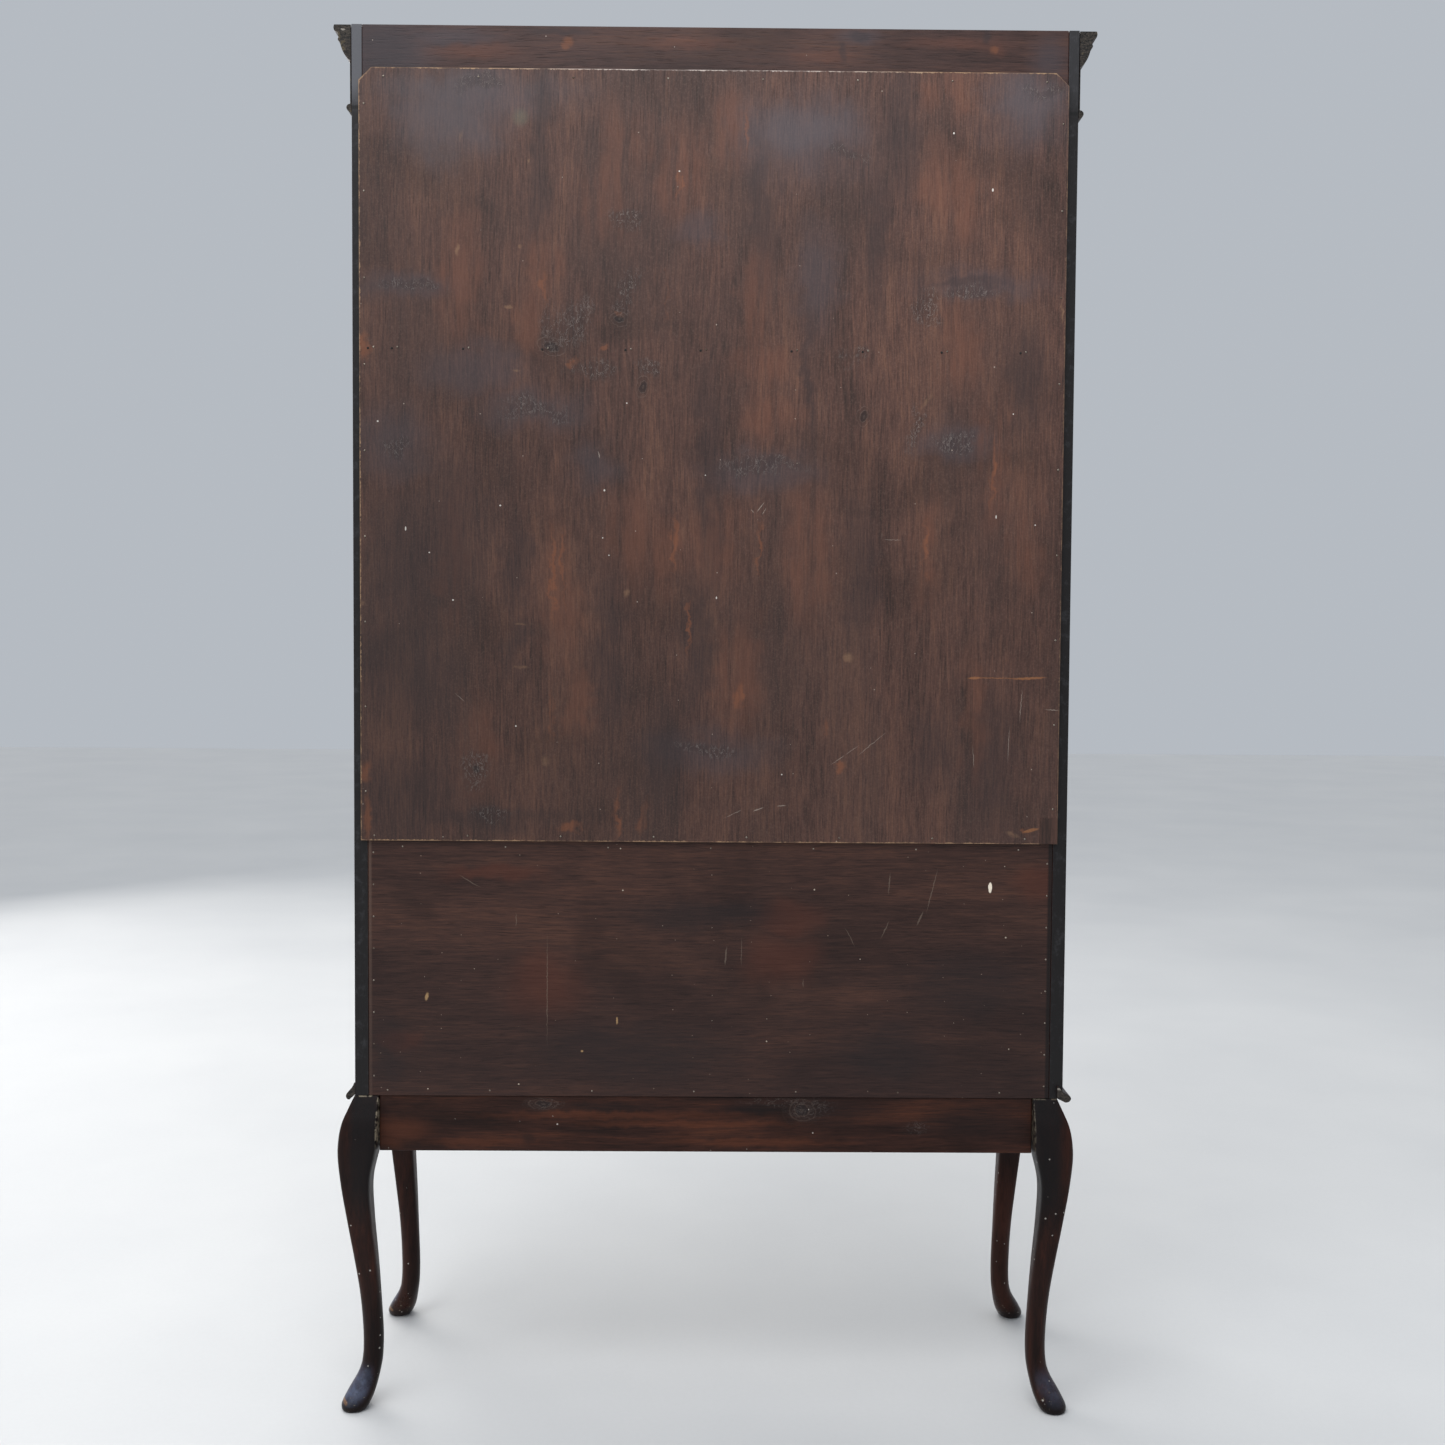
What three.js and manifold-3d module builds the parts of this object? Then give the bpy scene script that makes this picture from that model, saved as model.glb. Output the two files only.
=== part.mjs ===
// A tall curio cabinet on four cabriole legs: a glazed display section over a small cupboard, closed
// behind by two thin back panels. Millimetres, +Z up. The doors face -Y, and left and right are those of
// someone facing the doors, so left is -X. The origin is on the floor, under the middle of the object's box.
import * as THREE from "three";
import { mergeVertices } from "three/addons/utils/BufferGeometryUtils.js";
import Module from "manifold-3d";

const wasm = await Module();
wasm.setup();

// ---------------------------------------------------------------- driving dimensions
const WIDTH = 915; // outside face to outside face of the two sides
const DEPTH = 280; // front edge to back edge of a side
const HEIGHT = 1770; // floor to the top edges of the sides
const BASE_TOP = 411; // floor to the top of the leg frame, where the carcass starts
const APRON_DROP = 73; // how far the aprons hang below the top of the leg frame
const LEG_FRAME_WIDTH = 909; // outside face to outside face of the legs' square tops
const LEG_FRAME_SHIFT = 4; // the leg frame's middle lies this far to the right of the carcass's
const SIDE_THICK = 17.5;
const BOARD_THICK = 18;
const MIDDLE_THICK = 24; // the board between the cupboard and the display section
const PANEL_SEAM = 742.5; // height where the lower and the upper back panels meet
const LOWER_PLY = 6; // lower back panel, let in between the sides
const LOWER_SUNK = 0.8; // how far its face lies below the back edges
const UPPER_PLY = 4.5; // upper back panel, laid over the back edges
const FRONT_PROUD = 26; // the knobs and the key stand this far in front of the sides
const KNEE_PROUD = 19.4; // the knees of the legs stand this far outside their square tops
const GAP = 0.3; // air left between two pieces that touch on the real object
const DOOR_GAP = 2; // running gap round a door
const DOOR_THICK = 20;
const DOOR_SET_BACK = 1; // door face behind the front edges of the sides
const STILE = 42; // width of a door's upright members
const GLASS_THICK = 3;

// ---------------------------------------------------------------- planes worked out from them
const HALF_WIDTH = WIDTH / 2;
const INNER_X = HALF_WIDTH - SIDE_THICK; // inner face of a side
const FRONT = (FRONT_PROUD - KNEE_PROUD - DEPTH) / 2; // front edges of the sides
const BACK = FRONT + DEPTH; // back edges of the sides
const legFaceX = (sideSign) => LEG_FRAME_SHIFT + (sideSign * LEG_FRAME_WIDTH) / 2; // a leg's outer face
const MIDDLE_BOTTOM = PANEL_SEAM - MIDDLE_THICK / 2;
const MIDDLE_TOP = PANEL_SEAM + MIDDLE_THICK / 2;
const NECK_BOTTOM = 1661; // underside of the neck moulding and of the frieze
const NECK_HEIGHT = 11.5;
const CORNICE_BOTTOM = 1724;
const FASCIA_PROUD = 1.8; // the flat band between the neck moulding and the cornice
const CORNICE_TOP = HEIGHT - 1;
const DOOR_FACE = FRONT + DOOR_SET_BACK;
const DOOR_BACK = DOOR_FACE + DOOR_THICK;
const DOOR_EDGE_X = INNER_X - DOOR_GAP; // the hinged edge of a door
const MEETING_X = DOOR_GAP / 2; // the edge where a door meets its neighbour
const HINGE_X = INNER_X - DOOR_GAP / 2;

// ---------------------------------------------------------------- materials
const wood = (color, roughness = 0.45) => new THREE.MeshStandardMaterial({ color, roughness, metalness: 0 });
const materials = {
  showWood: wood(0x3a1f14, 0.35),
  legWood: wood(0x2a1813, 0.35),
  backWood: wood(0x4a342b, 0.55),
  railWood: wood(0x45251a, 0.5),
  insideWood: wood(0x5a3826, 0.6),
  glass: new THREE.MeshStandardMaterial({
    color: 0xdfe8e6,
    roughness: 0.05,
    metalness: 0,
    transparent: true,
    opacity: 0.3,
  }),
  brass: new THREE.MeshStandardMaterial({ color: 0xa67c3a, roughness: 0.35, metalness: 1 }),
  steel: new THREE.MeshStandardMaterial({ color: 0x6d6a66, roughness: 0.4, metalness: 1 }),
};

const cabinet = new THREE.Group();
const SIDES = [["left", -1], ["right", 1]];

// ---------------------------------------------------------------- helpers
function place(name, geometry, material, parent = cabinet) {
  const mesh = new THREE.Mesh(geometry, material);
  mesh.name = name;
  parent.add(mesh);
  return mesh;
}

// A loose box between two corners, for a board or for a cutter.
function block([x0, x1], [y0, y1], [z0, z1]) {
  const mesh = new THREE.Mesh(new THREE.BoxGeometry(x1 - x0, y1 - y0, z1 - z0));
  mesh.position.set((x0 + x1) / 2, (y0 + y1) / 2, (z0 + z1) / 2);
  return mesh;
}

function board(name, xs, ys, zs, material) {
  const mesh = block(xs, ys, zs);
  mesh.name = name;
  mesh.material = material;
  cabinet.add(mesh);
  return mesh;
}

// A loose cylinder of one radius, centred on a point, along "x", "y" or "z".
function rod(radius, length, along, centre, sides = 16) {
  const mesh = new THREE.Mesh(new THREE.CylinderGeometry(radius, radius, length, sides));
  if (along === "x") mesh.rotation.z = Math.PI / 2;
  if (along === "z") mesh.rotation.x = Math.PI / 2;
  mesh.position.set(...centre);
  return mesh;
}

function solidOf(mesh) {
  mesh.updateMatrixWorld(true);
  const geometry = mesh.geometry.clone().applyMatrix4(mesh.matrixWorld);
  geometry.deleteAttribute("normal");
  geometry.deleteAttribute("uv");
  const merged = mergeVertices(geometry, 1e-4);
  return new wasm.Manifold(
    new wasm.Mesh({
      numProp: 3,
      vertProperties: merged.attributes.position.array,
      triVerts: new Uint32Array(merged.index.array),
    }),
  );
}

function geometryOf(solid) {
  const mesh = solid.getMesh();
  const geometry = new THREE.BufferGeometry();
  geometry.setAttribute("position", new THREE.BufferAttribute(mesh.vertProperties, 3));
  geometry.setIndex(new THREE.BufferAttribute(mesh.triVerts, 1));
  geometry.computeVertexNormals();
  return geometry;
}

// The pieces joined into one, less the cutters, and trimmed to the inside of the last mesh if there is one.
function carve(pieces, cutters = [], within = null) {
  let solid = solidOf(pieces[0]);
  for (const piece of pieces.slice(1)) solid = solid.add(solidOf(piece));
  for (const cutter of cutters) solid = solid.subtract(solidOf(cutter));
  if (within) solid = solid.intersect(solidOf(within));
  return geometryOf(solid);
}

// A span given outward from the middle of the cabinet, turned to the side that the sign names.
function outward(sideSign, near, far) {
  return sideSign > 0 ? [near, far] : [-far, -near];
}

// An outline drawn in X and Z, as seen from the front, given thickness from y0 back to y1.
function fromFront(shape, y0, y1, curveSegments = 8) {
  const geometry = new THREE.ExtrudeGeometry(shape, { depth: y1 - y0, bevelEnabled: false, curveSegments });
  geometry.rotateX(Math.PI / 2);
  geometry.translate(0, y1, 0);
  return new THREE.Mesh(geometry);
}

// ---------------------------------------------------------------- cabriole legs
const LEG_BLOCK = 31.3; // the square top of a leg
const LEG_RINGS = 26;
const LEG_SIDES = 16;
// Height, outer face and inner face, both measured outward from the faces of the leg's square top.
const CABRIOLE = [
  [BASE_TOP - GAP, 0, -LEG_BLOCK],
  [395, 7, -LEG_BLOCK],
  [374, 15, -LEG_BLOCK],
  [343, KNEE_PROUD, -30],
  [300, 16, -21.5],
  [250, 9.5, -22.5],
  [190, 1.5, -27],
  [145, -3.5, -30],
  [95, -6.5, -32.5],
  [62, -6, -32],
  [43, -1.5, -29.5],
  [22, 10.5, -25],
  [9, 17, -20],
  [2.5, 17, -16],
  [0, 14.5, -12],
];
const legFaces = new THREE.CatmullRomCurve3(
  CABRIOLE.map(([z, outer, inner]) => new THREE.Vector3(outer, inner, z)),
);

// How square a leg's section is: 2 is an ellipse, and more is squarer.
function squareness(z) {
  return THREE.MathUtils.lerp(2.2, 7, THREE.MathUtils.smoothstep(z, 130, 370));
}

// A leg is the same seen from the front and from the side, so its knee and its toe point out at a corner.
function legGeometry(sideSign, endSign) {
  const endFace = endSign < 0 ? FRONT : BACK;
  const geometry = new THREE.CylinderGeometry(1, 1, 1, LEG_SIDES, LEG_RINGS);
  const points = geometry.attributes.position;
  for (let i = 0; i < points.count; i++) {
    const faces = legFaces.getPoint(0.5 - points.getY(i));
    const angle = Math.atan2(-points.getZ(i), points.getX(i)) + Math.PI / LEG_SIDES;
    const reach = (Math.hypot(points.getX(i), points.getZ(i)) * (faces.x - faces.y)) / 2;
    const power = 2 / squareness(faces.z);
    const alongFace = (value) => Math.sign(value) * Math.abs(value) ** power * reach;
    const middle = (faces.x + faces.y) / 2;
    points.setXYZ(
      i,
      legFaceX(sideSign) + sideSign * middle + alongFace(Math.cos(angle)),
      endFace + endSign * middle + alongFace(Math.sin(angle)),
      faces.z,
    );
  }
  return geometry;
}

for (const [sideName, sideSign] of SIDES) {
  place(`leg_front_${sideName}`, legGeometry(sideSign, -1), materials.legWood);
  place(`leg_back_${sideName}`, legGeometry(sideSign, 1), materials.legWood);
}

// ---------------------------------------------------------------- aprons between the legs
const APRON_THICK = 20;
const APRON_INSET = 3; // apron face behind the legs' faces
const APRON_BOTTOM = BASE_TOP - APRON_DROP;
const APRON_HALF = LEG_FRAME_WIDTH / 2 - LEG_BLOCK - GAP;
const apronX = [LEG_FRAME_SHIFT - APRON_HALF, LEG_FRAME_SHIFT + APRON_HALF];
const apronZ = [APRON_BOTTOM, BASE_TOP - GAP];

const backApronY = [BACK - APRON_INSET - APRON_THICK, BACK - APRON_INSET];
board("apron_back", apronX, backApronY, apronZ, materials.railWood);
for (const [sideName, sideSign] of SIDES) {
  const outer = legFaceX(sideSign) - sideSign * APRON_INSET;
  const xs = [outer, outer - sideSign * APRON_THICK].sort((a, b) => a - b);
  const ys = [FRONT + LEG_BLOCK + GAP, BACK - LEG_BLOCK - GAP];
  board(`apron_${sideName}`, xs, ys, apronZ, materials.showWood);
}

// The front apron's lower edge rises in two long cyma curves to a shallow drop at the middle.
const APRON_RISE = 24;
const MIDDLE_RISE = 14;
const RISE_STARTS = 0.86 * APRON_HALF;
const RISE_ENDS = 0.62 * APRON_HALF;
const DROP_STARTS = 0.2 * APRON_HALF;

function frontApronShape() {
  const shape = new THREE.Shape();
  const cyma = (x0, z0, x1, z1) => shape.bezierCurveTo((x0 + x1) / 2, z0, (x0 + x1) / 2, z1, x1, z1);
  const low = APRON_BOTTOM;
  const high = APRON_BOTTOM + APRON_RISE;
  const middle = APRON_BOTTOM + MIDDLE_RISE;
  shape.moveTo(-APRON_HALF, BASE_TOP - GAP);
  shape.lineTo(-APRON_HALF, low);
  shape.lineTo(-RISE_STARTS, low);
  cyma(-RISE_STARTS, low, -RISE_ENDS, high);
  shape.lineTo(-DROP_STARTS, high);
  cyma(-DROP_STARTS, high, 0, middle);
  cyma(0, middle, DROP_STARTS, high);
  shape.lineTo(RISE_ENDS, high);
  cyma(RISE_ENDS, high, RISE_STARTS, low);
  shape.lineTo(APRON_HALF, low);
  shape.lineTo(APRON_HALF, BASE_TOP - GAP);
  shape.closePath();
  return shape;
}
const frontApronY = [FRONT + APRON_INSET, FRONT + APRON_INSET + APRON_THICK];
const frontApron = fromFront(frontApronShape(), ...frontApronY).geometry;
place("apron_front", frontApron.translate(LEG_FRAME_SHIFT, 0, 0), materials.showWood);

// ---------------------------------------------------------------- carcass boards
const boardX = [-INNER_X + GAP, INNER_X - GAP];
const PANEL_FACE = BACK - LOWER_SUNK - LOWER_PLY; // inner face of the lower back panel
const BOLT_X = -21; // the slide bolt on the left display door
const BOLT_RADIUS = 3;
const BOLT_Y = DOOR_BACK + BOLT_RADIUS + GAP;

const bottomZ = [BASE_TOP, BASE_TOP + BOARD_THICK];
board("bottom_board", boardX, [FRONT, PANEL_FACE - GAP], bottomZ, materials.insideWood);
// The middle board's upper half runs on to the back edges, over the lower panel.
place(
  "middle_board",
  carve(
    [block(boardX, [FRONT, BACK - GAP], [MIDDLE_BOTTOM, MIDDLE_TOP])],
    [
      block([-HALF_WIDTH, HALF_WIDTH], [PANEL_FACE - GAP, BACK + 1], [MIDDLE_BOTTOM - 1, PANEL_SEAM]),
      rod(BOLT_RADIUS + 0.6, 24, "z", [BOLT_X, BOLT_Y, MIDDLE_TOP]),
    ],
  ),
  materials.showWood,
);
board("frieze_board", boardX, [FRONT, FRONT + BOARD_THICK], [NECK_BOTTOM, HEIGHT], materials.showWood);

const RAIL_THICK = 19;
const RAIL_DROP = 92; // the back rail runs this far down from the top, behind the upper panel
const RAIL_LET_IN = 4.5; // the rail's ends sit in rebates cut in the sides
const RAIL_END = INNER_X + RAIL_LET_IN;
const railX = [-RAIL_END + GAP, RAIL_END - GAP];
board("back_top_rail", railX, [BACK - RAIL_THICK, BACK], [HEIGHT - RAIL_DROP, HEIGHT], materials.railWood);
board(
  "top_board",
  boardX,
  [FRONT + BOARD_THICK + GAP, BACK - RAIL_THICK - GAP],
  [HEIGHT - 3 - BOARD_THICK, HEIGHT - 3],
  materials.insideWood,
);

// ---------------------------------------------------------------- back panels
const PANEL_LEFT = -HALF_WIDTH + 13; // the upper panel leaves more of the left side's edge bare
const PANEL_RIGHT = HALF_WIDTH - 9.5;
const PANEL_TOP = 1715.5;
const CORNER_CUT = 16; // the upper panel's top corners are clipped
const upperPanelShape = new THREE.Shape()
  .moveTo(PANEL_LEFT, PANEL_SEAM)
  .lineTo(PANEL_RIGHT, PANEL_SEAM)
  .lineTo(PANEL_RIGHT, PANEL_TOP - CORNER_CUT)
  .lineTo(PANEL_RIGHT - CORNER_CUT, PANEL_TOP)
  .lineTo(PANEL_LEFT + CORNER_CUT, PANEL_TOP)
  .lineTo(PANEL_LEFT, PANEL_TOP - CORNER_CUT)
  .closePath();
const upperPanel = fromFront(upperPanelShape, BACK + GAP, BACK + UPPER_PLY);
place("back_panel_upper", upperPanel.geometry, materials.backWood);
const lowerPanelY = [PANEL_FACE, BACK - LOWER_SUNK];
board("back_panel_lower", boardX, lowerPanelY, [BASE_TOP, PANEL_SEAM - GAP], materials.backWood);

// ---------------------------------------------------------------- shelves and their pegs
const SHELF_THICK = 16;
const FIXED_SHELF_Z = 1368; // centre of the shelf that the upper panel is nailed to
const LOOSE_SHELF_Z = 1062;
const SHELF_FRONT = DOOR_BACK + 12;
const PEG_RADIUS = 3;
const PEG_OUT = 11;
const PEG_IN = 9;

function shelf(name, middle) {
  const zs = [middle - SHELF_THICK / 2, middle + SHELF_THICK / 2];
  return board(name, boardX, [SHELF_FRONT, BACK - GAP], zs, materials.insideWood);
}
shelf("shelf_fixed", FIXED_SHELF_Z);
shelf("shelf_loose", LOOSE_SHELF_Z);

const pegZ = LOOSE_SHELF_Z - SHELF_THICK / 2 - PEG_RADIUS - GAP;
const pegY = { front: FRONT + 38, back: BACK - 24 };
for (const [sideName, sideSign] of SIDES) {
  for (const [endName, y] of Object.entries(pegY)) {
    const pegMiddle = sideSign * (INNER_X + (PEG_IN - PEG_OUT) / 2);
    const peg = rod(PEG_RADIUS, PEG_IN + PEG_OUT, "x", [pegMiddle, y, pegZ], 12);
    peg.name = `shelf_peg_${endName}_${sideName}`;
    peg.material = materials.brass;
    cabinet.add(peg);
  }
}

// ---------------------------------------------------------------- hinges
const LEAF_THICK = 1.2;
const LEAF_REACH = 16;
const BARREL_RADIUS = 3.2;
const PIN_RADIUS = 1.5;
const BARREL_Y = FRONT - BARREL_RADIUS + 0.5;
const KNUCKLES = 5;
const hingeRows = {
  upper: { length: 64, levels: { bottom: MIDDLE_TOP + 110, top: NECK_BOTTOM - 110 } },
  lower: { length: 46, levels: { bottom: BASE_TOP + BOARD_THICK + 52, top: MIDDLE_BOTTOM - 52 } },
};

// A leaf lies flat in a recess: the fixed leaf in the side, and the moving leaf in the door's edge.
function leafSpan(sideSign, moving, spare) {
  const face = HINGE_X + (moving ? -DOOR_GAP / 2 : DOOR_GAP / 2);
  const depth = moving ? [LEAF_THICK + spare, spare] : [spare, LEAF_THICK + spare];
  return outward(sideSign, face - depth[0], face + depth[1]);
}

function leafRecess(sideSign, moving, row, level) {
  const half = row.length / 2 + GAP;
  const ys = [BARREL_Y - BARREL_RADIUS, BARREL_Y + LEAF_REACH + GAP];
  return block(leafSpan(sideSign, moving, GAP), ys, [level - half, level + half]);
}

// The knuckles alternate along the pin. The fixed leaf has the odd ones, and holds the pin.
function hingeLeaf(sideSign, moving, row, level) {
  const half = row.length / 2;
  const pitch = row.length / KNUCKLES;
  const ownLength = moving ? pitch - 2 * GAP : pitch;
  const x = sideSign * HINGE_X;
  const bottom = level - half;
  const ys = [BARREL_Y, BARREL_Y + LEAF_REACH];
  const pieces = [block(leafSpan(sideSign, moving, 0), ys, [bottom, level + half])];
  const cutters = [];
  for (let i = 0; i < KNUCKLES; i++) {
    const centre = [x, BARREL_Y, bottom + (i + 0.5) * pitch];
    const own = (i % 2 === 1) === moving;
    if (own) pieces.push(rod(BARREL_RADIUS, ownLength, "z", centre, 12));
    else cutters.push(rod(BARREL_RADIUS + GAP, 2 * pitch - ownLength, "z", centre, 12));
  }
  const axis = [x, BARREL_Y, level];
  if (moving) return carve(pieces, [...cutters, rod(PIN_RADIUS + GAP, 2 * row.length, "z", axis, 12)]);
  const leaf = new THREE.Mesh(carve(pieces, cutters));
  return carve([leaf, rod(PIN_RADIUS, row.length, "z", axis, 12)]);
}

function hingeRecesses(sideSign, moving, rows) {
  const recessAt = (row) => (level) => leafRecess(sideSign, moving, row, level);
  const recesses = (row) => Object.values(row.levels).map(recessAt(row));
  return rows.flatMap(recesses);
}

for (const [sideName, sideSign] of SIDES) {
  for (const [rowName, row] of Object.entries(hingeRows)) {
    for (const [levelName, level] of Object.entries(row.levels)) {
      for (const [leafName, moving] of [["side_leaf", false], ["door_leaf", true]]) {
        const name = `hinge_${rowName}_${sideName}_${levelName}_${leafName}`;
        place(name, hingeLeaf(sideSign, moving, row, level), materials.brass);
      }
    }
  }
}

// ---------------------------------------------------------------- sides with their panes
const SIDE_STILE = 54;
const WINDOW_BOTTOM = MIDDLE_TOP + 40;
const WINDOW_TOP = NECK_BOTTOM - 32;
const REBATE = 8; // ledge that a pane laps over
const REBATE_DEEP = 9; // how far a side pane is let in from the inside
const paneY = [FRONT + SIDE_STILE, BACK - SIDE_STILE];

for (const [sideName, sideSign] of SIDES) {
  const across = (near, far) => outward(sideSign, near, far);
  const paneOuter = INNER_X + REBATE_DEEP;
  const window = block(across(INNER_X - 5, HALF_WIDTH + 5), paneY, [WINDOW_BOTTOM, WINDOW_TOP]);
  const rebate = block(
    across(INNER_X - 5, paneOuter),
    [paneY[0] - REBATE, paneY[1] + REBATE],
    [WINDOW_BOTTOM - REBATE, WINDOW_TOP + REBATE],
  );
  const pegHoles = Object.values(pegY).map((y) =>
    rod(PEG_RADIUS + GAP, 2 * (PEG_IN + GAP), "x", [sideSign * INNER_X, y, pegZ], 12),
  );
  const railRebate = block(
    across(INNER_X - 5, RAIL_END),
    [BACK - RAIL_THICK - GAP, BACK + 5],
    [HEIGHT - RAIL_DROP - GAP, HEIGHT + 5],
  );
  place(
    `side_frame_${sideName}`,
    carve(
      [block(across(INNER_X, HALF_WIDTH), [FRONT, BACK], [BASE_TOP, HEIGHT])],
      [window, rebate, railRebate, ...pegHoles, ...hingeRecesses(sideSign, false, Object.values(hingeRows))],
    ),
    materials.showWood,
  );
  board(
    `side_glass_${sideName}`,
    across(paneOuter - GAP - GLASS_THICK, paneOuter - GAP),
    [paneY[0] - REBATE + 1, paneY[1] + REBATE - 1],
    [WINDOW_BOTTOM - REBATE + 1, WINDOW_TOP + REBATE - 1],
    materials.glass,
  );
}

// ---------------------------------------------------------------- mouldings round the front and the sides
// The outline is drawn as distance out from the carcass and height, then swept round with mitred corners.
function sweptMoulding(name, outline, curveSegments) {
  const settings = { depth: 3, steps: 3, bevelEnabled: false, curveSegments };
  const geometry = new THREE.ExtrudeGeometry(outline, settings);
  const points = geometry.attributes.position;
  for (let i = 0; i < points.count; i++) {
    const out = points.getX(i);
    const station = Math.round(points.getZ(i)); // 0 and 3 are the cut ends at the back, 1 and 2 the mitres
    const x = (station < 2 ? 1 : -1) * (HALF_WIDTH + out);
    const y = station === 0 || station === 3 ? BACK : FRONT - out;
    points.setXYZ(i, x, y, points.getY(i));
  }
  return place(name, geometry, materials.showWood);
}

const corniceOutline = new THREE.Shape()
  .moveTo(GAP, NECK_BOTTOM + NECK_HEIGHT + GAP)
  .lineTo(FASCIA_PROUD, NECK_BOTTOM + NECK_HEIGHT + GAP)
  .lineTo(FASCIA_PROUD, CORNICE_BOTTOM + 1)
  .quadraticCurveTo(12, CORNICE_BOTTOM + 12, 14.5, CORNICE_BOTTOM + 24)
  .quadraticCurveTo(18.5, CORNICE_BOTTOM + 26, 16, CORNICE_BOTTOM + 29.5)
  .quadraticCurveTo(17, CORNICE_BOTTOM + 36, 22, CORNICE_BOTTOM + 37.5)
  .quadraticCurveTo(23.5, CORNICE_TOP - 2, 21, CORNICE_TOP)
  .lineTo(GAP, CORNICE_TOP)
  .closePath();
sweptMoulding("cornice_moulding", corniceOutline, 4);

const neckMiddle = NECK_BOTTOM + NECK_HEIGHT / 2;
const neckOutline = new THREE.Shape()
  .moveTo(GAP, NECK_BOTTOM)
  .lineTo(2, NECK_BOTTOM + 0.5)
  .quadraticCurveTo(6.4, neckMiddle - 3.6, 6.6, neckMiddle)
  .quadraticCurveTo(6.4, neckMiddle + 3.6, 2, NECK_BOTTOM + NECK_HEIGHT - 0.5)
  .lineTo(GAP, NECK_BOTTOM + NECK_HEIGHT)
  .closePath();
sweptMoulding("neck_moulding", neckOutline, 3);

const baseOutline = new THREE.Shape()
  .moveTo(GAP, BASE_TOP + 1)
  .lineTo(7, BASE_TOP - 5.4)
  .quadraticCurveTo(11.8, BASE_TOP - 5.2, 11.7, BASE_TOP)
  .quadraticCurveTo(11, BASE_TOP + 4, 7.5, BASE_TOP + 6.5)
  .quadraticCurveTo(3, BASE_TOP + 9, 1.6, BASE_TOP + 15.5)
  .lineTo(GAP, BASE_TOP + 16)
  .closePath();
sweptMoulding("base_moulding", baseOutline, 3);

// ---------------------------------------------------------------- display doors
const UPPER_BOTTOM = MIDDLE_TOP + DOOR_GAP;
const UPPER_TOP = NECK_BOTTOM - DOOR_GAP - 1;
const TOP_RAIL = 42;
const BOTTOM_RAIL = 56;
const GLASS_FRONT = DOOR_FACE + 12;
const LOCK_Z = 1205;
const LOCK_X = 21; // centre of the keyhole, on the right door's meeting stile
const LOCK_WIDE = 26;
const LOCK_TALL = 56;
const LOCK_DEEP = 10;
const KEYHOLE_RADIUS = 3.4;
const KEYWAY_RADIUS = 5.5; // room for the key to turn inside the lock
const LOCK_BOLT = { thick: 4, tall: 12 };
const BOLT_THROW = 7;
const lockBoltY = DOOR_BACK - LOCK_DEEP / 2;

const slotAlongX = (xs, spare) =>
  block(
    xs,
    [lockBoltY - LOCK_BOLT.thick / 2 - spare, lockBoltY + LOCK_BOLT.thick / 2 + spare],
    [LOCK_Z - LOCK_BOLT.tall / 2 - spare, LOCK_Z + LOCK_BOLT.tall / 2 + spare],
  );

function doorWindow(sideSign, bottom, top, topRail, bottomRail, ys, grow) {
  return block(
    outward(sideSign, MEETING_X + STILE - grow, DOOR_EDGE_X - STILE + grow),
    ys,
    [bottom + bottomRail - grow, top - topRail + grow],
  );
}

// The bars: three rows of upright panes, with pointed arches crossing above them.
const BAR_WIDE = 9;
const BAR_DEEP = 8;
const BAR_ROWS = 3;
const barY = [GLASS_FRONT - GAP - BAR_DEEP, GLASS_FRONT - GAP];
const opening = {
  half: (DOOR_EDGE_X - MEETING_X) / 2 - STILE - GAP,
  middle: (DOOR_EDGE_X + MEETING_X) / 2,
  bottom: UPPER_BOTTOM + BOTTOM_RAIL + GAP,
  top: UPPER_TOP - TOP_RAIL - GAP,
};
const SPRING_Z = opening.top - opening.half * 1.18; // where the arches spring from

// A curved bar: part of a flat ring round a point at the springing height.
function archBar(centreX, radius, fromAngle, toAngle) {
  const shape = new THREE.Shape();
  shape.absarc(centreX, SPRING_Z, radius + BAR_WIDE / 2, fromAngle, toAngle, false);
  shape.absarc(centreX, SPRING_Z, radius - BAR_WIDE / 2, toAngle, fromAngle, true);
  shape.closePath();
  return fromFront(shape, ...barY, 7);
}

function doorBars(sideSign) {
  const middle = sideSign * opening.middle;
  const half = opening.half;
  const [left, right] = [middle - half, middle + half];
  const rowHeight = (SPRING_Z - opening.bottom) / BAR_ROWS;
  const pieces = [block([middle - BAR_WIDE / 2, middle + BAR_WIDE / 2], barY, [opening.bottom, SPRING_Z])];
  for (let row = 1; row <= BAR_ROWS; row++) {
    const z = opening.bottom + row * rowHeight;
    pieces.push(block([left, right], barY, [z - BAR_WIDE / 2, z + BAR_WIDE / 2]));
  }
  pieces.push(archBar(left, 2 * half, 0, Math.PI / 4));
  pieces.push(archBar(right, 2 * half, (Math.PI * 3) / 4, Math.PI));
  pieces.push(archBar(left, half, 0, Math.PI / 2));
  pieces.push(archBar(right, half, Math.PI / 2, Math.PI));
  return carve(pieces, [], block([left, right], [DOOR_FACE, DOOR_BACK], [opening.bottom, opening.top]));
}

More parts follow.
